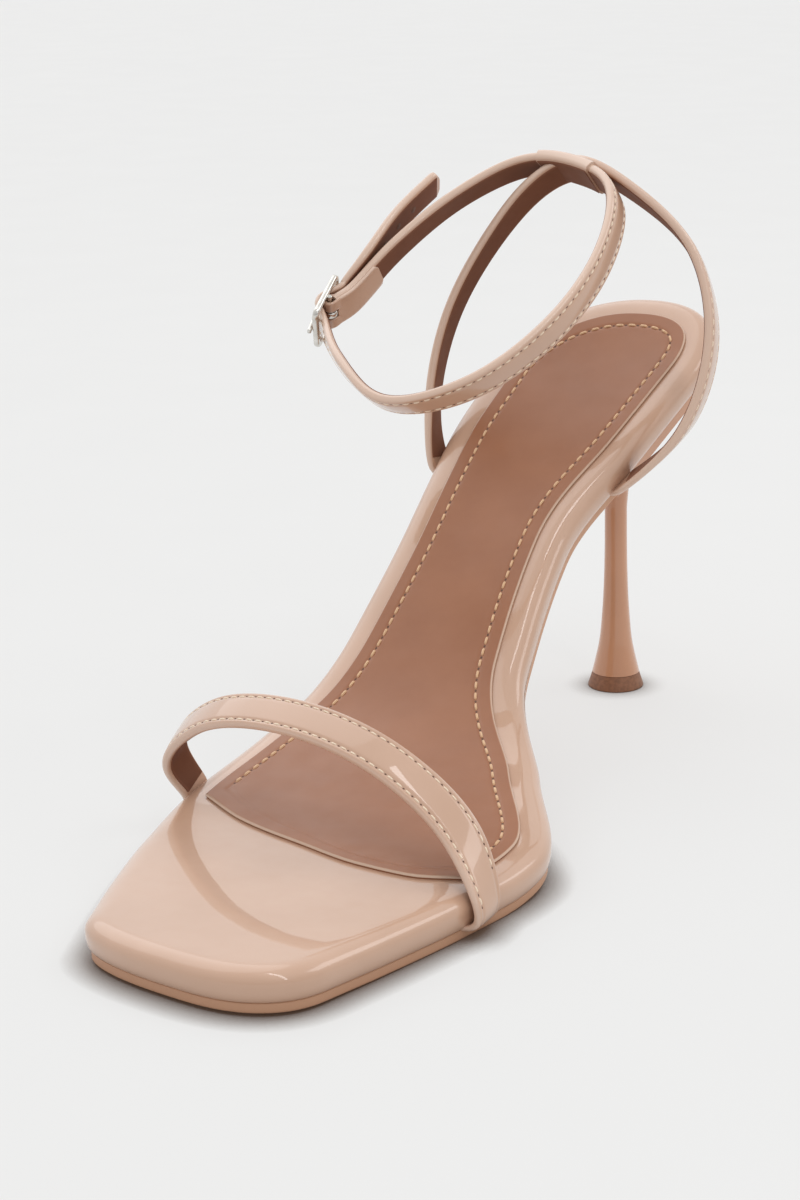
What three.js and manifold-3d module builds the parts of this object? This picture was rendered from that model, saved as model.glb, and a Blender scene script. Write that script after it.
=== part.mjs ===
// High-heeled ankle strap sandal, right shoe, in millimetres with +Z up.
// The toe points along -Y and the medial side of the foot is +X.
// The origin is the middle of the heel tip, on the floor.
import * as THREE from 'three';
import { LoftGeometry } from 'three/addons/geometries/LoftGeometry.js';
import { mergeVertices } from 'three/addons/utils/BufferGeometryUtils.js';
import Module from 'manifold-3d';

const wasm = await Module();
wasm.setup();

// Driving dimensions of the last
const footLength = 216;
const ballWidth = 84;
const heelHeight = 84;
const toeSpring = 0.7;
const toeSkew = 3;
const seatTurn = 6.4;
const seatCup = 1.5;

// Bottom of the shoe
const gap = 0.3;
const footbedThickness = 5.7;
const rimWidth = 4.6;
const rimUnderWidth = 2.2;
const outsoleThickness = 2.4;
const outsoleInset = 0.6;
const outsoleChamfer = 0.5;
const sockInset = 6;
const sockThickness = 1;
const sockEdge = 0.5;

// Heel
const heelInset = 1.2;
const heelTipWidth = 13.3;
const topPieceHeight = 3.6;
const cupWall = 3;

// Straps
const strapWidth = 8;
const strapThickness = 2;
const strapEdge = 0.6;
const toeStrapWidth = 8.8;
const toeStrapHeight = 24;
const ankleHeight = 69;
const skivedThickness = 1;
const chapeThickness = 0.8;
const billetThickness = 1.4;
const chapeLength = 19;
const rearTurn = 27;
const seamOverlap = 0.25;
const tuck = 4;
const sleeveLength = 15;
const sleeveWall = 0.5;
const sleeveBend = 3;

// Buckle
const frameLength = 14.5;
const frameBar = 1.5;
const frameThickness = 1.4;
const frameBevel = 0.3;
const pivotWidth = 1.2;
const pivotDrop = 1;
const frameCorner = 2;
const tongueWidth = 1.6;
const tongueThickness = 1;
const tongueOverhang = 0.5;

// Where things stand along the last, as shares of its length
const toeRoundAt = 0.05;
const seatRoundAt = 0.9;
const breastAt = 0.775;
const heelAt = 0.9055;
const heelAcross = 0.055;
const toeSpringAt = 0.06;
const skewEndAt = 0.3;
const toeSquareness = 2.7;
const seatRoundness = 2.2;
const rimFullness = 2.2;

// Half widths on the lateral and the medial side, as shares of the ball width
const outlineRows = [
  { at: 0.05, lateral: 0.289, medial: 0.332 },
  { at: 0.12, lateral: 0.350, medial: 0.388 },
  { at: 0.22, lateral: 0.424, medial: 0.460 },
  { at: 0.32, lateral: 0.471, medial: 0.506 },
  { at: 0.45, lateral: 0.429, medial: 0.345 },
  { at: 0.57, lateral: 0.358, medial: 0.163 },
  { at: 0.69, lateral: 0.335, medial: 0.137 },
  { at: 0.80, lateral: 0.339, medial: 0.214 },
  { at: 0.90, lateral: 0.307, medial: 0.285 },
];

// Rise of the footbed along the last, as a share of the heel height
const profileRows = [
  { at: 0.00, rise: 0.000 },
  { at: 0.27, rise: 0.000 },
  { at: 0.36, rise: 0.028 },
  { at: 0.44, rise: 0.070 },
  { at: 0.50, rise: 0.122 },
  { at: 0.56, rise: 0.222 },
  { at: 0.62, rise: 0.343 },
  { at: 0.72, rise: 0.533 },
  { at: 0.82, rise: 0.703 },
  { at: 0.91, rise: 0.850 },
  { at: 1.00, rise: 1.000 },
];

// Front edge of the sock from the lateral side, -1, to the medial side, 1
const sockFrontRows = [
  { across: -1.0, at: 0.317 },
  { across: -0.6, at: 0.282 },
  { across: -0.1, at: 0.255 },
  { across: 0.35, at: 0.234 },
  { across: 0.7, at: 0.229 },
  { across: 1.0, at: 0.243 },
];

// Stem of the heel: height as a share of the heel height, width as a share of the tip's
const stemRows = [
  { height: 0.000, width: 1.000 },
  { height: 0.043, width: 0.857 },
  { height: 0.090, width: 0.714 },
  { height: 0.140, width: 0.590 },
  { height: 0.200, width: 0.515 },
  { height: 0.300, width: 0.440 },
  { height: 0.420, width: 0.405 },
  { height: 0.530, width: 0.400 },
];

// Cup of the heel: how far each ring spreads to the seat, and the height of its centre
const cupRows = [
  { spread: 0.96, height: 0.780 },
  { spread: 0.84, height: 0.760 },
  { spread: 0.66, height: 0.740 },
  { spread: 0.46, height: 0.715 },
  { spread: 0.27, height: 0.680 },
  { spread: 0.12, height: 0.640 },
  { spread: 0.03, height: 0.590 },
];

// Ankle strap from the back of the ankle to the buckle, on the lateral side.
// across is a share of the ball width, at of the length, rise of the ankle height
// above the anchors. leanX, leanY and leanZ point along the strap's width.
const rearRows = [
  { across: -0.454, at: 0.774, rise: 0.762, leanX: 0.23, leanY: -0.72, leanZ: 0.65 },
  { across: -0.327, at: 0.834, rise: 0.921, leanX: 0.26, leanY: -0.76, leanZ: 0.58 },
  { across: -0.169, at: 0.869, rise: 1.019, leanX: 0.00, leanY: -0.80, leanZ: 0.56 },
  { across: -0.002, at: 0.854, rise: 1.017, leanX: -0.20, leanY: -0.68, leanZ: 0.71 },
];

// Ankle strap from the back of the ankle round the medial side and the front
const frontRows = [
  { across: 0.148, at: 0.815, rise: 0.962, leanX: -0.16, leanY: -0.62, leanZ: 0.77 },
  { across: 0.198, at: 0.741, rise: 0.791, leanX: -0.04, leanY: -0.60, leanZ: 0.80 },
  { across: 0.145, at: 0.661, rise: 0.603, leanX: 0.07, leanY: -0.63, leanZ: 0.78 },
  { across: -0.006, at: 0.598, rise: 0.446, leanX: 0.10, leanY: -0.76, leanZ: 0.63 },
  { across: -0.211, at: 0.578, rise: 0.382, leanX: -0.10, leanY: -0.86, leanZ: 0.50 },
  { across: -0.401, at: 0.619, rise: 0.458, leanX: -0.15, leanY: -0.56, leanZ: 0.81 },
];

// Free end of the ankle strap, past the buckle
const tailRows = [
  { across: -0.508, at: 0.756, rise: 0.739, leanX: 0.26, leanY: -0.62, leanZ: 0.74 },
  { across: -0.478, at: 0.800, rise: 0.851, leanX: 0.23, leanY: -0.70, leanZ: 0.66 },
  { across: -0.429, at: 0.854, rise: 0.955, leanX: 0.23, leanY: -0.72, leanZ: 0.64 },
];

// Heel strap from the lateral anchor over the back of the ankle to the medial anchor
const quarterRows = [
  { across: -0.392, at: 0.806, rise: 0.220, leanX: 0.16, leanY: -0.93, leanZ: 0.20 },
  { across: -0.370, at: 0.834, rise: 0.501, leanX: 0.08, leanY: -0.96, leanZ: 0.27 },
  { across: -0.273, at: 0.856, rise: 0.752, leanX: -0.08, leanY: -0.95, leanZ: 0.28 },
  { across: -0.130, at: 0.866, rise: 0.957, leanX: -0.20, leanY: -0.84, leanZ: 0.48 },
  { across: 0.002, at: 0.861, rise: 1.025, leanX: -0.15, leanY: -0.70, leanZ: 0.70 },
  { across: 0.172, at: 0.853, rise: 0.945, leanX: 0.23, leanY: -0.84, leanZ: 0.48 },
  { across: 0.335, at: 0.852, rise: 0.772, leanX: 0.28, leanY: -0.92, leanZ: 0.27 },
  { across: 0.413, at: 0.835, rise: 0.507, leanX: 0.13, leanY: -0.96, leanZ: 0.22 },
  { across: 0.370, at: 0.814, rise: 0.233, leanX: 0.08, leanY: -0.97, leanZ: 0.00 },
];
const quarterAnchorAt = { lateral: 0.778, medial: 0.79 };

// Toe strap from the lateral to the medial side: rise is a share of its height
// over the footbed, across of the ball width
const toeStrapRows = [
  { across: -0.516, at: 0.333, rise: 0.34 },
  { across: -0.363, at: 0.309, rise: 0.83 },
  { across: -0.114, at: 0.291, rise: 0.985 },
  { across: 0.158, at: 0.273, rise: 0.825 },
  { across: 0.377, at: 0.253, rise: 0.39 },
];
const toeStrapAnchorAt = { lateral: 0.348, medial: 0.227 };
const toeStrapLean = { x: 0, y: 1, z: 0.54 };

// Middle of the buckle on the strap's routes, and the way it faces
const buckleRow = { across: -0.572, at: 0.702, rise: 0.586 };
const buckleAlong = { x: -0.04, y: 0.84, z: 0.54 };
const buckleUp = { x: 0.26, y: -0.48, z: 0.84 };

// Mesh densities
const sidePoints = 42;
const denseSide = 120;
const rowColumns = 4;
const sockColumns = 8;
const rimSteps = 4;
const strapStep = 3.4;
const toeStrapStep = 3;
const foldSteps = 6;
const pivotSides = 12;
const tongueSides = 20;
const foldTurn = 190;

// Smooth curve through a short table, flat where the table is flat
function tableCurve(rows, key, column) {
  const places = rows.map((row) => row[key]);
  const values = rows.map((row) => row[column]);
  const steps = [];
  for (let i = 1; i < rows.length; i += 1) {
    steps.push((values[i] - values[i - 1]) / (places[i] - places[i - 1]));
  }
  const slopes = places.map((place, i) => {
    const before = steps[Math.max(i - 1, 0)];
    const after = steps[Math.min(i, steps.length - 1)];
    return before * after <= 0 ? 0 : (2 * before * after) / (before + after);
  });
  return (place) => {
    const here = THREE.MathUtils.clamp(place, places[0], places[places.length - 1]);
    let i = 0;
    while (i < places.length - 2 && here > places[i + 1]) {
      i += 1;
    }
    const span = places[i + 1] - places[i];
    const t = (here - places[i]) / span;
    const rest = 1 - t;
    const start = values[i] * (1 + 2 * t) * rest * rest + slopes[i] * span * t * rest * rest;
    const end = values[i + 1] * (3 - 2 * t) * t * t - slopes[i + 1] * span * rest * t * t;
    return start + end;
  };
}

const lateralShare = tableCurve(outlineRows, 'at', 'lateral');
const medialShare = tableCurve(outlineRows, 'at', 'medial');
const riseShare = tableCurve(profileRows, 'at', 'rise');
const sockFront = tableCurve(sockFrontRows, 'across', 'at');
const stemWidth = tableCurve(stemRows, 'height', 'width');

// Share of the full width at a distance t, from 0 to 1, into a rounded end
function endShare(t, fullness) {
  return (1 - t ** fullness) ** (1 / fullness);
}

// Middle, half width and end share of the outline at a place along the last
function outlineAt(at) {
  const place = THREE.MathUtils.clamp(at, toeRoundAt, seatRoundAt);
  const middle = (ballWidth * (medialShare(place) - lateralShare(place))) / 2;
  const half = (ballWidth * (medialShare(place) + lateralShare(place))) / 2;
  if (at < toeRoundAt) {
    return { middle, half, share: endShare((toeRoundAt - at) / toeRoundAt, toeSquareness) };
  }
  if (at > seatRoundAt) {
    const t = Math.min((at - seatRoundAt) / (1 - seatRoundAt), 1);
    return { middle: middle + seatTurn * t, half, share: endShare(t, seatRoundness) };
  }
  return { middle, half, share: 1 };
}

// Point of the outline seen from above, on the lateral side, -1, or the medial side, 1
function edgePoint(at, side) {
  const { middle, half, share } = outlineAt(at);
  const fade = Math.max(1 - at / skewEndAt, 0) ** 2;
  return new THREE.Vector2(
    middle + side * half * share,
    at * footLength - toeSkew * fade * side * share,
  );
}

// One side of the outline, closely spaced, from the middle of the toe to the back of the seat
function denseEdge(side) {
  const ends = denseSide / 4;
  const points = [];
  for (let i = 0; i <= ends; i += 1) {
    const angle = (i / ends) * (Math.PI / 2);
    const at = toeRoundAt * (1 - Math.cos(angle) ** (2 / toeSquareness));
    points.push(edgePoint(at, side));
  }
  const sides = denseSide / 2;
  for (let i = 1; i < sides; i += 1) {
    points.push(edgePoint(THREE.MathUtils.lerp(toeRoundAt, seatRoundAt, i / sides), side));
  }
  for (let i = 0; i <= ends; i += 1) {
    const angle = (i / ends) * (Math.PI / 2);
    const t = Math.sin(angle) ** (2 / seatRoundness);
    points.push(edgePoint(THREE.MathUtils.lerp(seatRoundAt, 1, t), side));
  }
  return points;
}

const lateralEdge = denseEdge(-1);
const medialEdge = denseEdge(1);

// Both sides of the outline moved inwards by a distance
function insetEdges(inset) {
  const ring = [...lateralEdge, ...medialEdge.slice(1, -1).reverse()];
  const moved = ring.map((point, i) => {
    const before = ring[(i + ring.length - 1) % ring.length];
    const after = ring[(i + 1) % ring.length];
    const along = after.clone().sub(before).normalize();
    return new THREE.Vector2(point.x + inset * along.y, point.y - inset * along.x);
  });
  const count = lateralEdge.length;
  const medial = [moved[0], ...moved.slice(count).reverse(), moved[count - 1]];
  return { lateral: moved.slice(0, count), medial };
}

// Part of a side between two places, with points closer together at both ends
function sampleEdge(edge, fromY, toY, count) {
  const lengths = [0];
  for (let i = 1; i < edge.length; i += 1) {
    lengths.push(lengths[i - 1] + edge[i].distanceTo(edge[i - 1]));
  }
  const lengthAtY = (y) => {
    if (y <= edge[0].y) {
      return 0;
    }
    let i = edge.length - 1;
    while (i > 1 && edge[i - 1].y > y) {
      i -= 1;
    }
    const t = THREE.MathUtils.clamp((y - edge[i - 1].y) / (edge[i].y - edge[i - 1].y), 0, 1);
    return THREE.MathUtils.lerp(lengths[i - 1], lengths[i], t);
  };
  const start = fromY === null ? 0 : lengthAtY(fromY);
  const end = toY === null ? lengths[lengths.length - 1] : lengthAtY(toY);
  const points = [];
  for (let k = 0; k <= count; k += 1) {
    const t = k / count;
    const eased = (t + (1 - Math.cos(Math.PI * t)) / 2) / 2;
    const length = THREE.MathUtils.lerp(start, end, eased);
    let i = 1;
    while (i < lengths.length - 1 && lengths[i] < length) {
      i += 1;
    }
    const share = (length - lengths[i - 1]) / (lengths[i] - lengths[i - 1]);
    points.push(edge[i - 1].clone().lerp(edge[i], share));
  }
  return points;
}

// Rows of points across a layer, from its front to its back.
// front and back give the place of a line across the sole; without them that end is round
// and its row is one point
function layerRows(layer, inset) {
  const { margin = 0, front = null, back = null, points = sidePoints, columns = rowColumns } = layer;
  const edges = insetEdges(margin + inset);
  const [lateral, medial] = [[edges.lateral, -1], [edges.medial, 1]].map(([edge, side]) => {
    const fromY = front ? front(side) * footLength + inset : null;
    const toY = back ? back(side) * footLength - inset : null;
    return sampleEdge(edge, fromY, toY, points);
  });
  return lateral.map((corner, i) => {
    const isEnd = i === 0 || i === points;
    const line = i === 0 ? front : back;
    if (isEnd && !line) {
      return [corner];
    }
    const row = [];
    for (let j = 0; j <= columns; j += 1) {
      const share = j / columns;
      const spot = corner.clone().lerp(medial[i], share);
      if (isEnd) {
        spot.y = line(2 * share - 1) * footLength + (i === 0 ? inset : -inset);
      }
      row.push(spot);
    }
    return row;
  });
}

// Places of the outermost points of a layer's rows, in order round it
function rowsRim(rows) {
  const last = rows.length - 1;
  const rim = rows.map((row, i) => [i, 0]);
  for (let j = 1; j < rows[last].length; j += 1) {
    rim.push([last, j]);
  }
  for (let i = last - 1; i > 0; i -= 1) {
    rim.push([i, rows[i].length - 1]);
  }
  for (let j = rows[0].length - 1; j > 0; j -= 1) {
    rim.push([0, j]);
  }
  return rim;
}

// Height of the footbed's top along the last
function footbedHeight(at) {
  const spring = toeSpring * Math.max(1 - at / toeSpringAt, 0) ** 2;
  const forefoot = outsoleThickness + gap + footbedThickness;
  return forefoot + heelHeight * riseShare(at) + spring;
}

// Depth of the hollow in which the heel sits
function cupDepth(x, at) {
  const { middle, half, share } = outlineAt(at);
  const across = THREE.MathUtils.clamp((x - middle) / Math.max(half * share, 1), -1, 1);
  const { smoothstep } = THREE.MathUtils;
  const along = smoothstep(at, 0.72, 0.86) * (1 - smoothstep(at, seatRoundAt, 1));
  return seatCup * along * (1 - across * across);
}

// Point of the shoe's bottom at a depth square to the footbed's top
function bottomPoint(x, y, depth) {
  const at = THREE.MathUtils.clamp(y / footLength, 0, 1);
  const step = 0.004;
  const climb = heelHeight * (riseShare(at + step) - riseShare(at - step));
  const run = footLength * (Math.min(at + step, 1) - Math.max(at - step, 0));
  const angle = Math.atan2(climb, run);
  const offset = depth - cupDepth(x, at);
  return new THREE.Vector3(
    x,
    y - Math.sin(angle) * offset,
    footbedHeight(at) + Math.cos(angle) * offset,
  );
}

// Closed mesh from points and triangles, with its faces turned outwards
function closedGeometry(points, triangles) {
  const geometry = new THREE.BufferGeometry().setFromPoints(points);
  geometry.setIndex(triangles);
  return facingOut(geometry);
}

// The same mesh with its triangles turned over if they face inwards
function facingOut(source) {
  const geometry = source.index ? source : mergeVertices(source);
  const place = geometry.getAttribute('position');
  const index = [...geometry.index.array];
  const [a, b, c] = [new THREE.Vector3(), new THREE.Vector3(), new THREE.Vector3()];
  let volume = 0;
  for (let i = 0; i < index.length; i += 3) {
    a.fromBufferAttribute(place, index[i]);
    b.fromBufferAttribute(place, index[i + 1]);
    c.fromBufferAttribute(place, index[i + 2]);
    volume += a.dot(b.cross(c));
  }
  if (volume < 0) {
    index.reverse();
  }
  geometry.setIndex(index);
  geometry.computeVertexNormals();
  return geometry;
}

// Ring of points round a layer, at an inset and a depth
function layerRing(layer, { inset, depth }) {
  const rows = layerRows(layer, inset);
  return rowsRim(rows).map(([i, j]) => bottomPoint(rows[i][j].x, rows[i][j].y, depth));
}

// Triangles that close a layer's ring, and the points that they need inside it
function addFace(layer, { inset, depth }, first, points, triangles) {
  const rows = layerRows(layer, inset);
  const places = rows.map((row) => row.map(() => null));
  rowsRim(rows).forEach(([i, j], k) => {
    places[i][j] = first + k;
  });
  rows.forEach((row, i) => row.forEach((spot, j) => {
    if (places[i][j] === null) {
      places[i][j] = points.length;
      points.push(bottomPoint(spot.x, spot.y, depth));
    }
  }));
  for (let i = 1; i < places.length; i += 1) {
    const [before, here] = [places[i - 1], places[i]];
    const count = Math.max(before.length, here.length);
    for (let j = 1; j < count; j += 1) {
      if (here.length > 1) {
        triangles.push([before[Math.min(j - 1, before.length - 1)], here[j - 1], here[j]]);
      }
      if (before.length > 1) {
        triangles.push([before[j - 1], here[Math.min(j, here.length - 1)], before[j]]);
      }
    }
  }
}

// Triangles between two rings of the same size
function addWall(first, second, size, triangles) {
  for (let i = 0; i < size; i += 1) {
    const next = (i + 1) % size;
    triangles.push([first + i, second + next, second + i]);
    triangles.push([first + i, first + next, second + next]);
  }
}

// Layer of the shoe's bottom, from its top inner ring round the rim to its bottom inner ring
function layerGeometry(layer, levels) {
  const points = [];
  const walls = [];
  const starts = [];
  levels.forEach((level) => {
    starts.push(points.length);
    points.push(...layerRing(layer, level));
  });
  const size = points.length / levels.length;
  for (let k = 1; k < levels.length; k += 1) {
    addWall(starts[k - 1], starts[k], size, walls);
  }
  const top = [];
  const bottom = [];
  addFace(layer, levels[0], starts[0], points, top);
  addFace(layer, levels.at(-1), starts.at(-1), points, bottom);
  const turned = top.map(([a, b, c]) => [a, c, b]);
  return closedGeometry(points, [...walls, ...turned, ...bottom].flat());
}

// Rounded rim of a layer: a wide round above its middle and a narrow one below
function roundRim(thickness, above, below) {
  const levels = [];
  const quarter = Math.PI / 2;
  for (let k = 0; k <= rimSteps; k += 1) {
    const angle = quarter * (k / rimSteps);
    const inset = above * (1 - Math.sin(angle) ** (2 / rimFullness));
    const drop = (thickness / 2) * (1 - Math.cos(angle) ** (2 / rimFullness));
    levels.push({ inset, depth: -drop });
  }
  for (let k = 1; k <= rimSteps; k += 1) {
    const angle = quarter * (k / rimSteps);
    const inset = below * (1 - Math.cos(angle) ** (2 / rimFullness));
    const drop = (thickness / 2) * (1 + Math.sin(angle) ** (2 / rimFullness));
    levels.push({ inset, depth: -drop });
  }
  return levels;
}

function footbedGeometry() {
  return layerGeometry({}, roundRim(footbedThickness, rimWidth, rimUnderWidth));
}

function outsoleGeometry() {
  const top = -footbedThickness - gap;
  const bottom = top - outsoleThickness;
  const layer = {
    margin: outsoleInset,
    back: () => breastAt - gap / footLength,
  };
  return layerGeometry(layer, [
    { inset: 0, depth: top },
    { inset: 0, depth: bottom + outsoleChamfer },
    { inset: outsoleChamfer, depth: bottom },
  ]);
}

function sockGeometry() {
  const top = gap + sockThickness;
  return layerGeometry({ margin: sockInset, front: sockFront, columns: sockColumns }, [
    { inset: sockEdge, depth: top },
    { inset: 0, depth: top - sockEdge },
    { inset: 0, depth: gap },
  ]);
}

// Middle of the heel's stem, seen from above
function stemMiddle() {
  return new THREE.Vector2(heelAcross * ballWidth, heelAt * footLength);
}

// Covered heel: a cup that carries the seat, drawn in to a slim stem that flares at its tip
function heelGeometry() {
  const layer = { margin: heelInset, front: () => breastAt, points: sidePoints / 2 };
  const seat = { inset: 0, depth: -footbedThickness - gap };
  const seatRing = layerRing(layer, seat);
  const middle = stemMiddle();
  const stemPoint = (point, height) => {
    const away = new THREE.Vector2(point.x, point.y).sub(middle).normalize();
    const radius = (heelTipWidth / 2) * stemWidth(height);
    return new THREE.Vector3(
      middle.x + away.x * radius,
      middle.y + away.y * radius,
      height * heelHeight,
    );
  };
  const wallRing = layerRing(layer, { inset: 0, depth: seat.depth - cupWall });
  const rimRing = seatRing.map((point, i) => {
    const back = (point.y / footLength - breastAt) / (1 - breastAt);
    return wallRing[i].lerp(point.clone().setZ(point.z - cupWall), Math.max(back, 0));
  });
  const points = [...seatRing];
  cupRows.forEach(({ spread, height }) => {
    seatRing.forEach((point, i) => {
      points.push(stemPoint(point, height).lerp(rimRing[i], spread));
    });
  });
  const low = (topPieceHeight + gap) / heelHeight;
  const heights = [...stemRows.map((row) => row.height).filter((height) => height > low), low];
  heights.sort((a, b) => b - a).forEach((height) => {
    seatRing.forEach((point) => points.push(stemPoint(point, height)));
  });
  const size = seatRing.length;
  const rings = points.length / size;
  const triangles = [];
  for (let k = 1; k < rings; k += 1) {
    addWall((k - 1) * size, k * size, size, triangles);
  }
  const top = [];
  addFace(layer, seat, 0, points, top);
  triangles.push(...top.map(([a, b, c]) => [a, c, b]));
  const foot = points.length;
  points.push(new THREE.Vector3(middle.x, middle.y, topPieceHeight + gap));
  const last = (rings - 1) * size;
  for (let i = 0; i < size; i += 1) {
    triangles.push([last + i, last + ((i + 1) % size), foot]);
  }
  return closedGeometry(points, triangles.flat());
}

// Top piece under the heel's tip, on the floor
function topPieceGeometry() {
  const radius = heelTipWidth / 2;
  const upper = radius * stemWidth(topPieceHeight / heelHeight);
  const geometry = new THREE.CylinderGeometry(upper, radius, topPieceHeight, 28);
  geometry.rotateX(Math.PI / 2);
  geometry.translate(stemMiddle().x, stemMiddle().y, topPieceHeight / 2);
  return geometry;
}

// Level from which the ankle straps rise
function anchorHeight() {
  return footbedHeight(breastAt) - footbedThickness;
}

// Point of a strap's route from its shares of the named sizes
function routePoint({ across, at, rise }) {
  return new THREE.Vector3(
    across * ballWidth,
    at * footLength,
    anchorHeight() + rise * ankleHeight,
  );
}

// Rows of a table as stations of a strap
function routeStations(rows) {
  return rows.map((row) => ({
    centre: routePoint(row),
    lean: new THREE.Vector3(row.leanX, row.leanY, row.leanZ),
    thickness: strapThickness,
  }));
}

// Stations that turn a strap's end under the footbed, from outside inwards
function tuckStations(at, side, lean) {
  const edge = edgePoint(at, side);
  const station = (out, depth, thickness) => ({
    centre: bottomPoint(edge.x + side * out, edge.y, depth),
    lean,
    thickness,
  });
  const skived = skivedThickness / 2;
  return [
    station(gap + strapThickness * 0.55, -footbedThickness * 0.45, strapThickness * 0.9),
    station(gap + strapThickness * 0.25, -footbedThickness * 0.84, strapThickness * 0.7),
    station(-0.9, -footbedThickness + skived + 0.1, skivedThickness * 1.1),
    station(-tuck, -footbedThickness + skived + 0.05, skivedThickness),
  ];
}

// Stations between the given ones, along smooth curves through them
function smoothStations(rows, step) {
  const centres = new THREE.CatmullRomCurve3(rows.map((row) => row.centre), false, 'centripetal');
  const leans = new THREE.CatmullRomCurve3(rows.map((row) => row.lean), false, 'catmullrom');
  const spans = rows.length - 1;
  const stations = [];
  for (let i = 0; i < spans; i += 1) {
    const length = rows[i].centre.distanceTo(rows[i + 1].centre);
    const count = Math.max(1, Math.round(length / step));
    for (let k = 0; k < count; k += 1) {
      const share = k / count;
      const t = (i + share) / spans;
      stations.push({
        centre: centres.getPoint(t),
        lean: leans.getPoint(t),
        thickness: THREE.MathUtils.lerp(rows[i].thickness, rows[i + 1].thickness, share),
      });
    }
  }
  stations.push(rows[spans]);
  return stations;
}

// Strap with rounded edges through its stations; grow makes it larger all round
function strapGeometry(stations, width, grow = 0) {
  const last = stations.length - 1;
  const sections = stations.map(({ centre, lean, thickness, shift = 0 }, i) => {
    const before = stations[Math.max(i - 1, 0)].centre;
    const after = stations[Math.min(i + 1, last)].centre;
    const along = after.clone().sub(before).normalize();
    const across = lean.clone().addScaledVector(along, -lean.dot(along)).normalize();
    const face = new THREE.Vector3().crossVectors(along, across);
    const middle = centre.clone().addScaledVector(face, shift);
    if (i === 0) {
      middle.addScaledVector(along, -grow);
    }
    if (i === last) {
      middle.addScaledVector(along, grow);
    }
    const wide = width / 2 + grow;
    const thick = thickness / 2 + grow;
    const corner = Math.min(strapEdge, thick * 0.7);
    const shape = [
      [wide, thick - corner],
      [wide - corner, thick],
      [corner - wide, thick],
      [-wide, thick - corner],
      [-wide, corner - thick],
      [corner - wide, -thick],
      [wide - corner, -thick],
      [wide, corner - thick],
    ];
    return shape.map(([a, f]) => middle.clone()
      .addScaledVector(across, a)
      .addScaledVector(face, f));
  });
  return new LoftGeometry(sections, { capStart: true, capEnd: true });
}

// Directions of the buckle: along the strap, up its width, and out from the ankle
function buckleFrame() {
  const along = new THREE.Vector3(buckleAlong.x, buckleAlong.y, buckleAlong.z).normalize();
  const up = new THREE.Vector3(buckleUp.x, buckleUp.y, buckleUp.z);
  up.addScaledVector(along, -up.dot(along)).normalize();
  const out = new THREE.Vector3().crossVectors(up, along);
  return { along, up, out, centre: routePoint(buckleRow) };
}

// Distance from the buckle's middle to the middle of each end bar
const barOffset = frameLength / 2 - frameBar / 2;

// Station of a strap at the buckle, in the buckle's own directions
function buckleStation(along, out, thickness) {
  const frame = buckleFrame();
  const centre = frame.centre.clone()
    .addScaledVector(frame.along, along)
    .addScaledVector(frame.out, out);
  return { centre, lean: frame.up.clone(), thickness };
}

// Distances that a strap's middle keeps from the buckle's bars
const barCorner = Math.hypot(frameBar, frameThickness) / 2;
const billetUnder = barCorner + gap + billetThickness / 2;
const chapeRadius = (pivotWidth + chapeThickness) / 2 + gap;
const billetOver = chapeRadius + (chapeThickness + billetThickness) / 2 + gap;
const chapeShift = (strapThickness + chapeThickness) / 2 - seamOverlap;
const rearStart = pivotWidth / 2 + 2 * gap;

// Station behind the middle bar, on the line that the rear part of the strap leaves along
function pivotStation(along, out, thickness) {
  const turn = THREE.MathUtils.degToRad(rearTurn);
  return buckleStation(
    along * Math.cos(turn) + out * Math.sin(turn),
    out * Math.cos(turn) - along * Math.sin(turn) - pivotDrop,
    thickness,
  );
}

// Fold of the strap round the buckle's middle bar, with both ends inside the strap
function foldStations() {
  const join = rearStart + chapeThickness;
  const stations = [pivotStation(join, -chapeShift, chapeThickness)];
  for (let k = 0; k <= foldSteps; k += 1) {
    const angle = THREE.MathUtils.degToRad(foldTurn * (k / foldSteps - 0.5));
    const [along, out] = [-Math.cos(angle) * chapeRadius, Math.sin(angle) * chapeRadius];
    stations.push(pivotStation(along, out, chapeThickness));
  }
  stations.push(pivotStation(join, chapeThickness / 3, chapeThickness));
  return stations;
}

// Rear part of the ankle strap, from the fold to the back of the ankle
function rearStations() {
  return [
    pivotStation(rearStart, 0, strapThickness),
    pivotStation(rearStart + strapThickness / 2, 0, strapThickness),
    pivotStation(barOffset, 0, strapThickness),
    ...routeStations(rearRows),
  ];
}

// Layer of the fold that is sewn down on the ankle's side of the strap
function chapeStations() {
  const stations = smoothStations(rearStations(), strapStep);
  let length = 0;
  const layer = stations.filter((station, i) => {
    length += i === 0 ? 0 : station.centre.distanceTo(stations[i - 1].centre);
    return length <= chapeLength;
  });
  return layer.map((station) => ({
    ...station,
    thickness: chapeThickness,
    shift: chapeShift,
  }));
}

// Pointed end of the strap through the buckle: under the front bar, over the fold and
// under the rear bar
function billetStations() {
  const reach = Math.hypot(barOffset, pivotDrop);
  const slope = Math.asin((billetUnder + billetOver) / reach) - Math.asin(pivotDrop / reach);
  const top = [-1, -0.35, 0.35, 1].map((share) => buckleStation(
    billetOver * Math.sin(share * slope),
    billetOver * Math.cos(share * slope) - pivotDrop,
    billetThickness,
  ));
  const low = (side, share) => buckleStation(
    side * (barOffset - billetUnder * Math.sin(share * slope)),
    -billetUnder * Math.cos(share * slope),
    billetThickness,
  );
  return [low(-1, 1), ...top, low(1, 0.6), low(1, -0.3)];
}

// Whole ankle strap, from the fold at the buckle round the ankle to its free end
function ankleStrapStations() {
  const rows = [
    ...rearStations(),
    ...routeStations(frontRows),
    ...billetStations(),
    ...routeStations(tailRows),
  ];
  return smoothStations(rows, strapStep);
}

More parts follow.
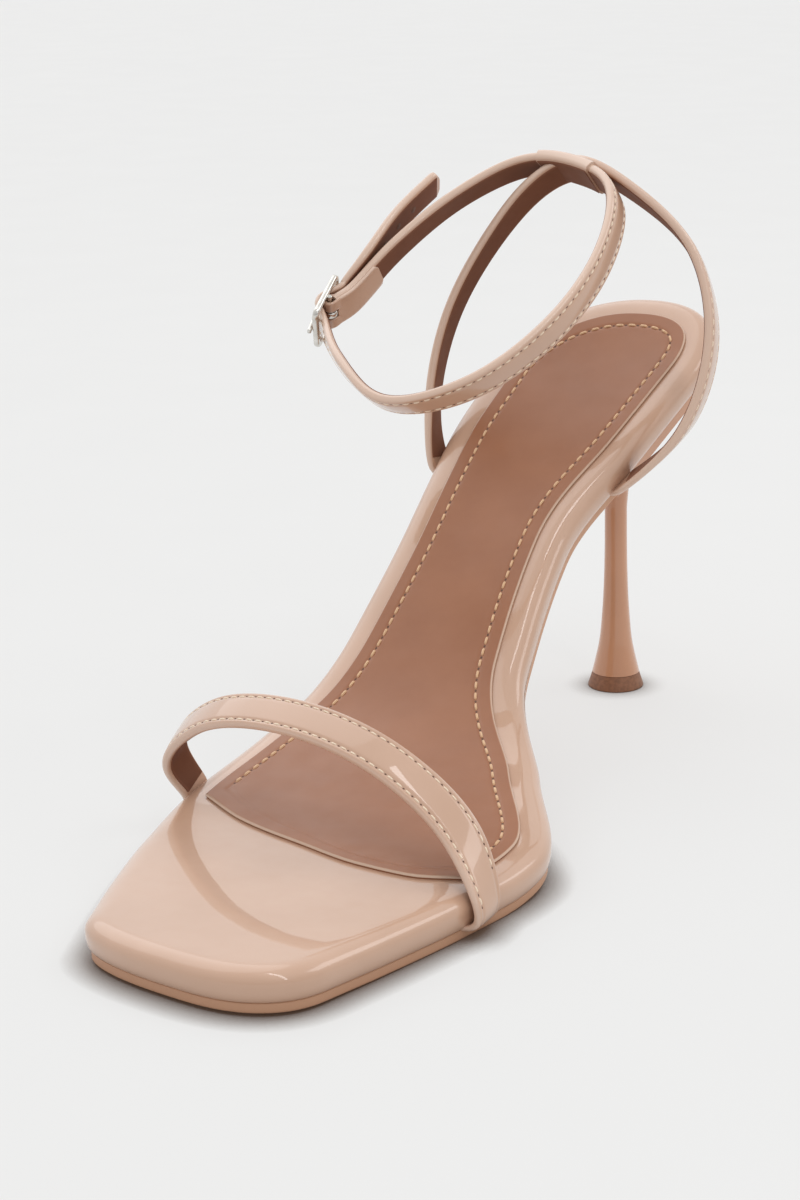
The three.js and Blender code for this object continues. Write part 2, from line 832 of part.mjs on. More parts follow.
// Heel strap over the back of the ankle, with both ends tucked under the footbed
function quarterStations() {
  const lean = new THREE.Vector3(0, -0.9, -0.3);
  const { lateral, medial } = quarterAnchorAt;
  const rows = [
    ...tuckStations(lateral, -1, lean).slice(1).reverse(),
    ...routeStations(quarterRows),
    ...tuckStations(medial, 1, lean).slice(1),
  ];
  return smoothStations(rows, strapStep);
}

// Sleeve at the back of the ankle, where the two straps cross and are sewn together
function sleeveStations() {
  const [lateral, back] = routeStations(rearRows.slice(-2));
  const [medial] = routeStations(frontRows.slice(0, 1));
  const along = medial.centre.clone().sub(lateral.centre).normalize();
  const inwards = new THREE.Vector3().crossVectors(along, back.lean).normalize();
  return [-0.5, -0.25, 0, 0.25, 0.5].map((share) => ({
    centre: back.centre.clone()
      .addScaledVector(along, share * sleeveLength)
      .addScaledVector(inwards, sleeveBend * share * share),
    lean: back.lean,
    thickness: strapThickness + 2 * sleeveWall,
  }));
}

// Toe strap over the toes, with both ends tucked under the footbed
function toeStrapStations() {
  const lean = new THREE.Vector3(toeStrapLean.x, toeStrapLean.y, toeStrapLean.z);
  const under = new THREE.Vector3(0, 1, 0);
  const forefoot = footbedHeight(skewEndAt / 2);
  const arch = toeStrapRows.map(({ across, at, rise }) => ({
    centre: new THREE.Vector3(across * ballWidth, at * footLength, forefoot + rise * toeStrapHeight),
    lean,
    thickness: strapThickness,
  }));
  const { lateral, medial } = toeStrapAnchorAt;
  return smoothStations([
    ...tuckStations(lateral, -1, under).reverse(),
    ...arch,
    ...tuckStations(medial, 1, under),
  ], toeStrapStep);
}

// Rounded rectangle about the origin, clockwise or not
function roundedRectangle(path, length, height, corner) {
  const x = length / 2;
  const y = height / 2;
  path.moveTo(-x + corner, -y);
  path.lineTo(x - corner, -y);
  path.absarc(x - corner, -y + corner, corner, -Math.PI / 2, 0);
  path.lineTo(x, y - corner);
  path.absarc(x - corner, y - corner, corner, 0, Math.PI / 2);
  path.lineTo(-x + corner, y);
  path.absarc(-x + corner, y - corner, corner, Math.PI / 2, Math.PI);
  path.lineTo(-x, -y + corner);
  path.absarc(-x + corner, -y + corner, corner, Math.PI, 1.5 * Math.PI);
  return path;
}

// Puts a form drawn in the buckle's plane in its place: x along, y up, z towards the ankle
function placedAtBuckle(geometry) {
  const { along, up, out, centre } = buckleFrame();
  const place = new THREE.Matrix4().makeBasis(along, up, out.clone().negate()).setPosition(centre);
  return geometry.applyMatrix4(place);
}

function buckleFrameGeometry() {
  const inner = strapWidth + 2 * gap;
  const height = inner + 2 * frameBar;
  const shrink = 2 * frameBevel;
  const shape = roundedRectangle(
    new THREE.Shape(),
    frameLength - shrink,
    height - shrink,
    frameCorner - frameBevel,
  );
  const window = roundedRectangle(
    new THREE.Path(),
    frameLength - 2 * frameBar + shrink,
    inner + shrink,
    frameBevel * 2,
  );
  shape.holes.push(window);
  const depth = frameThickness - shrink;
  const geometry = new THREE.ExtrudeGeometry(shape, {
    depth,
    curveSegments: 4,
    bevelEnabled: true,
    bevelThickness: frameBevel,
    bevelSize: frameBevel,
    bevelSegments: 1,
  });
  geometry.translate(0, 0, -depth / 2);
  const middleBar = new THREE.CylinderGeometry(
    pivotWidth / 2,
    pivotWidth / 2,
    inner + frameBar,
    pivotSides,
  );
  middleBar.translate(0, 0, pivotDrop);
  return placedAtBuckle(geometryOf(solidOf(geometry).add(solidOf(middleBar))));
}

// Tongue of the buckle: an eye on the middle bar and a bent pin that rests over the front bar
function tongueGeometry(grow = 0) {
  const thickness = tongueThickness + 2 * grow;
  const width = tongueWidth + 2 * grow;
  const hole = pivotWidth / 2 + gap;
  const eye = hole + tongueThickness * 0.8;
  const rest = frameThickness / 2 + gap + tongueThickness / 2;
  const bend = new THREE.Vector2(-barOffset / 2, rest);
  const start = new THREE.Vector2(0, eye - tongueThickness / 2 - pivotDrop);
  const tip = new THREE.Vector2(-barOffset - frameBar / 2 - tongueOverhang, rest);
  const disc = (radius, spot, length) => {
    const geometry = new THREE.CylinderGeometry(radius, radius, length, tongueSides);
    geometry.translate(spot.x, 0, -spot.y);
    return solidOf(geometry);
  };
  const pin = (from, to) => {
    const geometry = new THREE.BoxGeometry(from.distanceTo(to), width, thickness);
    geometry.rotateY(Math.atan2(to.y - from.y, to.x - from.x));
    const middle = from.clone().lerp(to, 0.5);
    geometry.translate(middle.x, 0, -middle.y);
    return solidOf(geometry);
  };
  const pivot = new THREE.Vector2(0, -pivotDrop);
  const body = disc(eye + grow, pivot, width)
    .add(pin(start, bend))
    .add(disc(thickness / 2, bend, width))
    .add(pin(bend, tip))
    .add(disc(thickness / 2, tip, width));
  const tongue = grow === 0 ? body.subtract(disc(hole, pivot, 2 * width)) : body;
  return placedAtBuckle(geometryOf(tongue));
}

// Solid for joining and cutting, from a closed mesh
function solidOf(geometry) {
  const bare = new THREE.BufferGeometry().copy(geometry);
  bare.deleteAttribute('normal');
  bare.deleteAttribute('uv');
  const merged = facingOut(mergeVertices(bare, 1e-4));
  return new wasm.Manifold(new wasm.Mesh({
    numProp: 3,
    vertProperties: new Float32Array(merged.getAttribute('position').array),
    triVerts: new Uint32Array(merged.index.array),
  }));
}

// Mesh of a joined or cut solid
function geometryOf(solid) {
  const mesh = solid.getMesh();
  const geometry = new THREE.BufferGeometry();
  geometry.setAttribute('position', new THREE.BufferAttribute(mesh.vertProperties, 3));
  geometry.setIndex(new THREE.BufferAttribute(mesh.triVerts, 1));
  geometry.computeVertexNormals();
  return geometry;
}

// Named piece with its colour and finish
function piece(name, geometry, { color, roughness, metalness = 0 }) {
  const material = new THREE.MeshStandardMaterial({ color, roughness, metalness });
  const mesh = new THREE.Mesh(geometry, material);
  mesh.name = name;
  return mesh;
}

const finishes = {
  patent: { color: 0xd6b8a2, roughness: 0.12 },
  sock: { color: 0xaa7a62, roughness: 0.5 },
  sole: { color: 0xbe8c6e, roughness: 0.6 },
  heel: { color: 0xa57660, roughness: 0.25 },
  rubber: { color: 0x5a4032, roughness: 0.7 },
  metal: { color: 0xc8c6c0, roughness: 0.25, metalness: 1 },
};

// Straps, and the channels that they take up in the shoe's bottom
const toeStations = toeStrapStations();
const heelStations = quarterStations();
const toeChannel = solidOf(strapGeometry(toeStations, toeStrapWidth, gap));
const heelChannel = solidOf(strapGeometry(heelStations, strapWidth, gap));
const tongueChannel = solidOf(tongueGeometry(gap));

const toeStrap = solidOf(strapGeometry(toeStations, toeStrapWidth));
const ankleUpper = solidOf(strapGeometry(ankleStrapStations(), strapWidth))
  .add(solidOf(strapGeometry(foldStations(), strapWidth)))
  .add(solidOf(strapGeometry(chapeStations(), strapWidth)))
  .add(solidOf(strapGeometry(heelStations, strapWidth)))
  .add(solidOf(strapGeometry(sleeveStations(), strapWidth + 2 * sleeveWall)))
  .subtract(tongueChannel)
  .decompose()
  .sort((a, b) => b.volume() - a.volume())[0];
const footbed = solidOf(footbedGeometry()).subtract(toeChannel).subtract(heelChannel);
const outsole = solidOf(outsoleGeometry()).subtract(toeChannel).subtract(heelChannel);
const heel = solidOf(heelGeometry()).subtract(heelChannel);

// The whole shoe, moved so that the middle of the heel tip is the origin
const shoe = new THREE.Group();
shoe.position.set(-stemMiddle().x, -stemMiddle().y, 0);
shoe.add(
  piece('outsole', geometryOf(outsole), finishes.sole),
  piece('footbed', geometryOf(footbed), finishes.patent),
  piece('insole_sock', sockGeometry(), finishes.sock),
  piece('toe_strap', geometryOf(toeStrap), finishes.patent),
  piece('ankle_upper', geometryOf(ankleUpper), finishes.patent),
  piece('heel', geometryOf(heel), finishes.heel),
  piece('top_piece', topPieceGeometry(), finishes.rubber),
  piece('buckle_frame', buckleFrameGeometry(), finishes.metal),
  piece('buckle_tongue', tongueGeometry(), finishes.metal),
);

const group = new THREE.Group();
group.add(shoe);

export default group;
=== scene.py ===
"""Right ankle strap sandal in nude patent leather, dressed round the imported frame.

Forms are worked out in the last's own millimetres: x across to the medial side, y from the
toe to the back of the seat, z up. The floor is z = 0.
"""

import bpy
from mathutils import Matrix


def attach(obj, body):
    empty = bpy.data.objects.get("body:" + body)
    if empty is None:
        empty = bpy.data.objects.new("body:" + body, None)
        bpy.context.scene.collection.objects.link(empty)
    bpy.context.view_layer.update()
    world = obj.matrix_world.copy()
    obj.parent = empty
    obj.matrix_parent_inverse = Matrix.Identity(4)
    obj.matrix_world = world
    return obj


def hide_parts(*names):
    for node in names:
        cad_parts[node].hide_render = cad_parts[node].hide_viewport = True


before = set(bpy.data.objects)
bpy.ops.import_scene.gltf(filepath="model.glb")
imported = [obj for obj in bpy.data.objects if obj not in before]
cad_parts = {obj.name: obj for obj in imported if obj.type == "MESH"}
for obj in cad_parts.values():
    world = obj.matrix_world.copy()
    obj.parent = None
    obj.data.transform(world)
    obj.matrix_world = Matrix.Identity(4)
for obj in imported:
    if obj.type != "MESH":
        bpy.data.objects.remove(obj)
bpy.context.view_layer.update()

import logging
import math
from dataclasses import dataclass, field
from enum import Enum
from functools import cached_property
from typing import Callable, Sequence

import bmesh
import bpy
import numpy as np
from mathutils import Matrix

Array = np.ndarray
Curve = Callable[[Array], Array]
Skin = tuple[list[Array], list[Array]]  # grids of points, and the marks of their edges
Pair = tuple[float, float]
Triple = tuple[float, float, float]
Row = tuple[float, ...]
Socket = bpy.types.NodeSocket
log = logging.getLogger("sandal")

MM = 0.001
HEEL_TIP = np.array([4.62, 195.588, 0.0])  # the frame's origin on the last
WELD = 0.002  # distance under which points are joined
GAP = 0.3  # air between two pieces
ROW_STEP = 0.7  # distance between the rows of a strap
LINING_THICKNESS = 0.5
LINING_SUNK = 0.1  # how much of it lies within the strap
LINING_MARGIN = 0.75  # how far its sides stay from the strap's sides


# Curves and meshes


def table_curve(places: Sequence[float], values: Sequence[float]) -> Curve:
    """Smooth curve through a short table.

    A cubic between each two rows; the slope at a row is the harmonic mean of the slopes on
    both sides of it, or level where they differ in sign. Past its ends the curve stays level.

    Args:
        places: where the rows stand, rising.
        values: what the curve reads there.

    Returns:
        A function from an array of places to their values.
    """
    at, value = np.array(places, float), np.array(values, float)
    step = np.diff(value) / np.diff(at)
    before, after = np.append(step[:1], step), np.append(step, step[-1:])
    turning = before * after <= 0
    slope = np.where(turning, 0.0, 2 * before * after / np.where(turning, 1.0, before + after))

    def read(place: Array) -> Array:
        """Value of the curve at each place.

        Args:
            place: places along the curve.

        Returns:
            The values there.
        """
        here = np.clip(place, at[0], at[-1])
        i = np.clip(np.searchsorted(at, here, side="right") - 1, 0, len(at) - 2)
        span = at[i + 1] - at[i]
        t = (here - at[i]) / span
        rest = 1 - t
        start = value[i] * (1 + 2 * t) * rest**2 + slope[i] * span * t * rest**2
        end = value[i + 1] * (3 - 2 * t) * t**2 - slope[i + 1] * span * rest * t**2
        return start + end

    return read


def unit(vectors: Array) -> Array:
    """The same vectors at length one."""
    return vectors / np.maximum(np.linalg.norm(vectors, axis=-1, keepdims=True), 1e-12)


def blur(values: Array, spread: float, closed: bool = False) -> Array:
    """Rows averaged with their neighbours by a bell curve.

    Args:
        values: rows along the first axis.
        spread: width of the bell in rows.
        closed: whether the last row is followed by the first one.

    Returns:
        The averaged rows. The first and last row of an open line stay where they are.
    """
    reach = max(1, min(int(3 * spread), len(values) - 1))
    bell = np.exp(-0.5 * (np.arange(-reach, reach + 1) / spread) ** 2)
    bell /= bell.sum()
    if closed:
        padded = np.concatenate([values[-reach:], values, values[:reach]])
    else:
        head = 2 * values[:1] - values[reach:0:-1]
        tail = 2 * values[-1:] - values[-2:-reach - 2:-1]
        padded = np.concatenate([head, values, tail])
    flat = padded.reshape(len(padded), -1)
    done = [np.convolve(column, bell, mode="valid") for column in flat.T]
    return np.stack(done, axis=1).reshape(values.shape)


def arc_lengths(points: Array) -> Array:
    """Distance along a line of points, from its first one."""
    return np.append(0.0, np.cumsum(np.linalg.norm(np.diff(points, axis=0), axis=1)))


def read_rows(rows: Array, places: Array, wanted: Array) -> Array:
    """Rows read off at other places, straight between the given ones."""
    return np.stack([np.interp(wanted, places, column) for column in rows.T], axis=1)


def spline(points: Array, per_span: int, power: float) -> Array:
    """Curve through all the points, closely spaced.

    A cubic on each span with the slopes of a Catmull-Rom curve, whose steps of time are the
    distances between points to a power: 0.5 for paths and 0 for directions.

    Args:
        points: rows to pass through.
        per_span: rows to make on each span.
        power: how much long spans weigh.

    Returns:
        len(points) - 1 times per_span rows, and the last point.
    """
    before = np.concatenate([2 * points[:1] - points[1:2], points[:-2]])
    after = np.concatenate([points[2:], 2 * points[-1:] - points[-2:-1]])
    start, end = points[:-1], points[1:]

    def time(a: Array, b: Array) -> Array:
        """Step of time between two rows.

        Args:
            a: first rows.
            b: second rows.

        Returns:
            The steps.
        """
        return np.maximum(np.linalg.norm(b - a, axis=1, keepdims=True), 1e-6) ** power

    t0, t1, t2 = time(before, start), time(start, end), time(end, after)
    leave = t1 * ((start - before) / t0 - (end - before) / (t0 + t1) + (end - start) / t1)
    arrive = t1 * ((end - start) / t1 - (after - start) / (t1 + t2) + (after - end) / t2)
    t = (np.arange(per_span) / per_span)[None, :, None]
    start, end, leave, arrive = (rows[:, None, :] for rows in (start, end, leave, arrive))
    curve = ((2 * t**3 - 3 * t**2 + 1) * start + (t**3 - 2 * t**2 + t) * leave
             + (3 * t**2 - 2 * t**3) * end + (t**3 - t**2) * arrive)
    return np.concatenate([curve.reshape(-1, points.shape[1]), points[-1:]])


def grid_faces(shape: tuple[int, int, int]) -> Array:
    """Four-sided faces of equal grids that follow each other: count, rows and columns.

    Args:
        shape: how many grids, and the rows and columns of each.

    Returns:
        Rows of four point numbers.
    """
    count, rows, columns = shape
    corner = np.arange(rows * columns).reshape(rows, columns)
    quads = np.stack([corner[:-1, :-1], corner[1:, :-1], corner[1:, 1:], corner[:-1, 1:]], -1)
    starts = np.arange(count) * rows * columns
    return (starts[:, None, None] + quads.reshape(1, -1, 4)).reshape(-1, 4)


def welded(name: str, grids: Sequence[Array], marks: Sequence[Array] | None = None,
           crease: float = 40.0) -> bpy.types.Object:
    """One mesh from grids of points, joined wherever their points fall together.

    Args:
        name: name of the piece.
        grids: arrays of rows by columns by 3, or of equal grids one level deeper, in mm.
        marks: for each grid, how much each point is an edge, from 0 to 1.
        crease: angle in degrees past which an edge stays sharp.

    Returns:
        The object, at the origin, with its faces turned outwards.
    """
    deep = [grid if grid.ndim == 4 else grid[None] for grid in grids]
    faces, first = [], 0
    for grid in deep:
        faces.append(grid_faces(grid.shape[:3]) + first)
        first += grid[..., 0].size
    points = np.concatenate([grid.reshape(-1, 3) for grid in deep])
    mesh = bpy.data.meshes.new(name)
    mesh.from_pydata((points - HEEL_TIP) * MM, [], np.concatenate(faces).tolist())
    if marks is not None:
        layer = mesh.attributes.new("edge", "FLOAT", "POINT")
        layer.data.foreach_set("value", np.concatenate([m.ravel() for m in marks]))
    work = bmesh.new()
    work.from_mesh(mesh)
    bmesh.ops.remove_doubles(work, verts=work.verts, dist=WELD * MM)
    bmesh.ops.recalc_face_normals(work, faces=work.faces)
    work.to_mesh(mesh)
    work.free()
    mesh.shade_smooth()
    mesh.set_sharp_from_angle(angle=math.radians(crease))
    piece = bpy.data.objects.new(name, mesh)
    bpy.context.scene.collection.objects.link(piece)
    return piece


def closing(row: Array) -> Array:
    """Grid that closes a tube at one of its end rows."""
    return np.stack([row, 0 * row + row.mean(axis=0)])


def strewn(spots: tuple[Array, Array, Array], along: Array, side: Array, up: Array) -> Array:
    """Copies of a small form, one at each spot.

    Args:
        spots: points, ways along and surface directions.
        along: grid of the form's distances along.
        side: the same to the side.
        up: the same off the surface.

    Returns:
        One grid of points for each spot.
    """
    point, way, normal = (rows[:, None, None, :] for rows in spots)
    x, y, z = (grid[None, :, :, None] for grid in (along, side, up))
    return point + x * way + y * np.cross(way, normal) + z * normal


def lathe(profile: Array, middle: Array, sides: int) -> Array:
    """Grid of a turned form: a profile of radius and height carried round an upright axis.

    Args:
        profile: rows of radius and height.
        middle: where the axis stands.
        sides: how many faces go round.

    Returns:
        The grid of points.
    """
    turn = np.linspace(0, 2 * np.pi, sides + 1)
    radius, height = profile[:, :1], profile[:, 1:]
    return np.stack([middle[0] + radius * np.cos(turn), middle[1] + radius * np.sin(turn),
                     height + 0 * turn], axis=-1)


def oval(sides: int, fullness: float = 2.0) -> Array:
    """Closed loop of a full oval of radius one: cosine and sine to the power 2 / fullness.

    Args:
        sides: how many points the loop has.
        fullness: 2 for a round one, more for a squarer one.

    Returns:
        Rows of two coordinates; the last row is the first one again.
    """
    turn = np.linspace(0, 2 * np.pi, sides + 1)
    ring = np.stack([np.cos(turn), np.sin(turn)], axis=1)
    ring[-1] = ring[0]
    return np.sign(ring) * np.abs(ring) ** (2 / fullness)


# Finishes


class Slot(Enum):
    """Material slots of the record."""

    PATENT = "patent_leather"
    SOCK = "sock_leather"
    OUTSOLE = "outsole_leather"
    HEEL = "heel_cover"
    RUBBER = "top_piece_rubber"
    METAL = "buckle_metal"


def map_range(nodes: bpy.types.Nodes, span: Pair, result: Pair) -> bpy.types.Node:
    """Node that carries a value from one span to another one, and holds it at the ends.

    Args:
        nodes: a material's or a world's nodes.
        span: where the value starts and ends.
        result: what these two become.

    Returns:
        The node.
    """
    node = nodes.new("ShaderNodeMapRange")
    for name, number in zip(("From Min", "From Max", "To Min", "To Max"), span + result):
        node.inputs[name].default_value = number
    return node


class Bench:
    """Nodes of one material, laid out from its shader backwards."""

    def __init__(self, name: str) -> None:
        """Starts a material with its shader and the piece's own coordinates.

        Args:
            name: the material's name.
        """
        self.material = bpy.data.materials.new(name)
        self.material.use_nodes = True
        self.nodes = self.material.node_tree.nodes
        self.shader = next(n for n in self.nodes if n.type == "BSDF_PRINCIPLED")
        self.place = self.nodes.new("ShaderNodeTexCoord").outputs["Object"]

    def join(self, source: Socket, target: Socket) -> None:
        """Links two sockets."""
        self.material.node_tree.links.new(source, target)

    def noise(self, size: float, detail: float = 3.0, rough: float = 0.5,
              stretch: Triple = (1.0, 1.0, 1.0)) -> Socket:
        """Cloudy pattern.

        Args:
            size: width of its largest spots in mm.
            detail: how many finer layers it has.
            rough: how strong the finer layers are.
            stretch: how many times finer it is along x, y and z.

        Returns:
            The socket of its value, from 0 to 1.
        """
        turn = self.nodes.new("ShaderNodeMapping")
        turn.inputs["Scale"].default_value = stretch
        self.join(self.place, turn.inputs["Vector"])
        node = self.nodes.new("ShaderNodeTexNoise")
        node.inputs["Scale"].default_value = 1 / (size * MM)
        node.inputs["Detail"].default_value = detail
        node.inputs["Roughness"].default_value = rough
        self.join(turn.outputs["Vector"], node.inputs["Vector"])
        return node.outputs["Fac"]

    def cells(self, size: float) -> Socket:
        """Pattern of small cells with valleys between them, as in leather grain.

        Args:
            size: width of a cell in mm.

        Returns:
            The socket of the distance to a cell's edge.
        """
        node = self.nodes.new("ShaderNodeTexVoronoi")
        node.feature = "DISTANCE_TO_EDGE"
        node.inputs["Scale"].default_value = 1 / (size * MM)
        self.join(self.place, node.inputs["Vector"])
        return node.outputs["Distance"]

    def attribute(self, name: str) -> Socket:
        """The piece's own value of that name.

        Args:
            name: the attribute's name.

        Returns:
            The socket of its value.
        """
        node = self.nodes.new("ShaderNodeAttribute")
        node.attribute_name = name
        return node.outputs["Fac"]

    def ramp(self, value: Socket, span: Pair = (0.3, 0.7), result: Pair = (0.0, 1.0)
             ) -> Socket:
        """A value from one span carried to another one, and held at its ends.

        Args:
            value: socket of the value.
            span: where it starts and ends.
            result: what these two become.

        Returns:
            The socket of the result.
        """
        node = map_range(self.nodes, span, result)
        self.join(value, node.inputs["Value"])
        return node.outputs["Result"]

    def patches(self, size: float, detail: float, result: Pair = (0.0, 1.0),
                span: Pair = (0.3, 0.7)) -> Socket:
        """Cloudy pattern whose middle values are carried to a result."""
        return self.ramp(self.noise(size, detail), span, result)

    def blend(self, share: Socket, first: Socket | Triple, second: Socket | Triple) -> Socket:
        """Colour between two colours or colour sockets, by a share.

        Args:
            share: socket from 0, the first colour, to 1, the second one.
            first: a colour or its socket.
            second: a colour or its socket.

        Returns:
            The socket of the colour.
        """
        node = self.nodes.new("ShaderNodeMix")
        node.data_type = "RGBA"
        self.join(share, node.inputs[0])
        for socket, colour in ((node.inputs[6], first), (node.inputs[7], second)):
            if isinstance(colour, tuple):
                socket.default_value = (*colour, 1)
            else:
                self.join(colour, socket)
        return node.outputs[2]

    def edged(self, leather: Socket, worn: Triple, most: float) -> Socket:
        """Leather's colour, blended to a worn one by no more than most on marked edges."""
        return self.blend(self.ramp(self.attribute("edge"), (0.3, 1.0), (0.0, most)),
                          leather, worn)

    def bump(self, height: Socket, depth: float, strength: float,
             under: Socket | None = None) -> Socket:
        """Relief from a pattern.

        Args:
            height: the pattern.
            depth: how deep it is in mm.
            strength: how much of it shows.
            under: another relief that it lies on.

        Returns:
            The socket of the surface's direction.
        """
        node = self.nodes.new("ShaderNodeBump")
        node.inputs["Distance"].default_value = depth * MM
        node.inputs["Strength"].default_value = strength
        self.join(height, node.inputs["Height"])
        if under is not None:
            self.join(under, node.inputs["Normal"])
        return node.outputs["Normal"]

    def done(self, colour: Socket, roughness: Socket,
             normal: Socket, **fixed: float) -> bpy.types.Material:
        """Links the finish to its shader.

        Args:
            colour: socket of the colour.
            roughness: socket of the roughness.
            normal: socket of the relief.
            **fixed: sockets of the shader that are the same all over, by name with _ for a
                space.

        Returns:
            The material.
        """
        self.join(colour, self.shader.inputs["Base Color"])
        self.join(roughness, self.shader.inputs["Roughness"])
        self.join(normal, self.shader.inputs["Normal"])
        for name, value in fixed.items():
            self.shader.inputs[name.replace("_", " ")].default_value = value
        return self.material


@dataclass(frozen=True)
class PatentLeather:
    """Lacquered leather: a soft base under a clear coat that waves a little."""

    name: str = "nude_patent"
    colour: Triple = (0.575, 0.36, 0.25)
    deep: Triple = (0.54, 0.332, 0.225)
    worn: Triple = (0.72, 0.53, 0.42)
    matt: Pair = (0.30, 0.38)
    coat_roughness: float = 0.03
    wave_size: float = 16.0
    wave_depth: float = 0.05

    def material(self) -> bpy.types.Material:
        """Cloudy colour, paler folded edges and faint waves.

        Returns:
            The material.
        """
        bench = Bench(self.name)
        cloud = bench.patches(22, 3, span=(0.35, 0.65))
        leather = bench.blend(cloud, self.colour, self.deep)
        waves = bench.bump(bench.noise(self.wave_size, 1.5), self.wave_depth, 0.5)
        bench.join(waves, bench.shader.inputs["Coat Normal"])
        return bench.done(bench.edged(leather, self.worn, 0.7), bench.patches(4, 2, self.matt),
                          waves, Coat_Weight=1.0, IOR=1.46,
                          Coat_Roughness=self.coat_roughness, Coat_IOR=1.5)


@dataclass(frozen=True)
class SockLeather:
    """Smooth lining leather with a low gloss and a fine grain."""

    name: str = "tan_sock"
    colour: Triple = (0.345, 0.140, 0.066)
    deep: Triple = (0.305, 0.118, 0.053)
    worn: Triple = (0.80, 0.62, 0.48)
    matt: Pair = (0.30, 0.42)
    grain: float = 0.8
    ior: float = 1.5

    def material(self) -> bpy.types.Material:
        """Two tones in soft patches, a cell grain with pores, and a paler cut edge.

        Returns:
            The material.
        """
        bench = Bench(self.name)
        patches = bench.ramp(bench.noise(16, 4, 0.6))
        leather = bench.blend(patches, self.colour, self.deep)
        creases = bench.bump(bench.noise(6, 3), 0.05, 0.3)
        cells = bench.bump(bench.cells(self.grain), 0.02, 0.25, creases)
        pores = bench.bump(bench.noise(0.3, 2), 0.012, 0.3, cells)
        return bench.done(bench.edged(leather, self.worn, 0.85), bench.patches(5, 4, self.matt),
                          pores, IOR=self.ior)


@dataclass(frozen=True)
class SoleLeather:
    """Matt sole leather with fibres along the sole and a few scuffs."""

    name: str = "sole_leather"
    colour: Triple = (0.50, 0.27, 0.165)
    deep: Triple = (0.42, 0.215, 0.125)
    worn: Triple = (0.56, 0.31, 0.19)

    def material(self) -> bpy.types.Material:
        """Long fibres, scuffs, and a painted edge.

        Returns:
            The material.
        """
        bench = Bench(self.name)
        fibres = bench.noise(1.2, 4, 0.6, (1, 0.12, 1))
        leather = bench.blend(bench.ramp(fibres), self.colour, self.deep)
        colour = bench.blend(bench.attribute("edge"), leather, self.worn)
        relief = bench.bump(fibres, 0.03, 0.3)
        scuffs = bench.bump(bench.noise(4, 5, 0.65, (1, 0.3, 1)), 0.04, 0.25, relief)
        return bench.done(colour, bench.patches(3, 4, (0.38, 0.62)), scuffs, IOR=1.48)


@dataclass(frozen=True)
class Rubber:
    """Dense brown rubber of the top piece."""

    name: str = "top_piece_rubber"
    colour: Triple = (0.28, 0.12, 0.06)
    deep: Triple = (0.21, 0.09, 0.045)

    def material(self) -> bpy.types.Material:
        """Speckled brown with fine turning marks.

        Returns:
            The material.
        """
        bench = Bench(self.name)
        speck = bench.patches(0.8, 3, span=(0.35, 0.65))
        marks = bench.bump(bench.noise(0.5, 2, 0.5, (0.3, 0.3, 2)), 0.02, 0.4)
        return bench.done(bench.blend(speck, self.colour, self.deep),
                          bench.patches(1.5, 3, (0.45, 0.6)), marks, IOR=1.5)


@dataclass(frozen=True)
class Thread:
    """Twisted polyester thread."""

    name: str = "pale_thread"
    colour: Triple = (0.90, 0.76, 0.60)
    deep: Triple = (0.80, 0.63, 0.46)

    def material(self) -> bpy.types.Material:
        """Two tones of fine strands.

        Returns:
            The material.
        """
        bench = Bench(self.name)
        strands = bench.noise(0.18, 2)
        colour = bench.blend(bench.ramp(strands), self.colour, self.deep)
        return bench.done(colour, bench.ramp(strands, result=(0.42, 0.6)),
                          bench.bump(strands, 0.05, 0.5), Sheen_Weight=0.3, IOR=1.5)


@dataclass(frozen=True)
class SilverPlate:
    """Polished silver plate with faint hairlines."""

    name: str = "silver_plate"
    colour: Triple = (0.80, 0.78, 0.74)
    deep: Triple = (0.62, 0.60, 0.56)

    def material(self) -> bpy.types.Material:
        """Bright metal, a little duller in patches.

        Returns:
            The material.
        """
        bench = Bench(self.name)
        patches = bench.patches(2.5, 4, span=(0.35, 0.65))
        lines = bench.bump(bench.noise(0.3, 3, 0.6, (1, 0.1, 1)), 0.01, 0.3)
        return bench.done(bench.blend(patches, self.colour, self.deep),
                          bench.patches(1.5, 4, (0.12, 0.24)), lines, Metallic=1.0)


@dataclass(frozen=True)
class StudioFloor:
    """Pale seamless floor that glows a little, with a painted shadow close round the shoe."""

    name: str = "pale_floor"
    colour: Triple = (0.25, 0.25, 0.248)
    deep: Triple = (0.24, 0.24, 0.238)
    painted_shadow: Triple = (0.075, 0.045, 0.03)
    glow_colour: Triple = (1.0, 1.0, 0.995)
    glow: float = 0.56
    painted_shadow_reach: float = 6.5
    painted_shadow_span: Pair = (0.4, 1.0)
    painted_shadow_samples: int = 4

    def material(self) -> bpy.types.Material:
        """Two near whites in wide clouds, a fine tooth, and a painted dark brown shadow where
        the shoe is near.

        Returns:
            The material.
        """
        bench = Bench(self.name)
        # Ambient occlusion within a few mm of the shoe pulls the floor's colour and glow towards
        # a dark brown: a painted contact shadow.
        near = bench.nodes.new("ShaderNodeAmbientOcclusion")
        near.inputs["Distance"].default_value = self.painted_shadow_reach * MM
        near.samples = self.painted_shadow_samples
        free = bench.ramp(near.outputs["AO"], self.painted_shadow_span)
        cloud = bench.blend(bench.noise(300, 2), self.colour, self.deep)
        bench.join(bench.blend(free, self.painted_shadow, self.glow_colour),
                   bench.shader.inputs["Emission Color"])
        tooth = bench.bump(bench.noise(2, 2), 0.02, 0.1)
        return bench.done(bench.blend(free, self.painted_shadow, cloud),
                          bench.patches(40, 2, (0.75, 0.85)), tooth, Specular_IOR_Level=0.1,
                          Emission_Strength=self.glow)


Finish = PatentLeather | SockLeather | SoleLeather | Rubber | Thread | SilverPlate


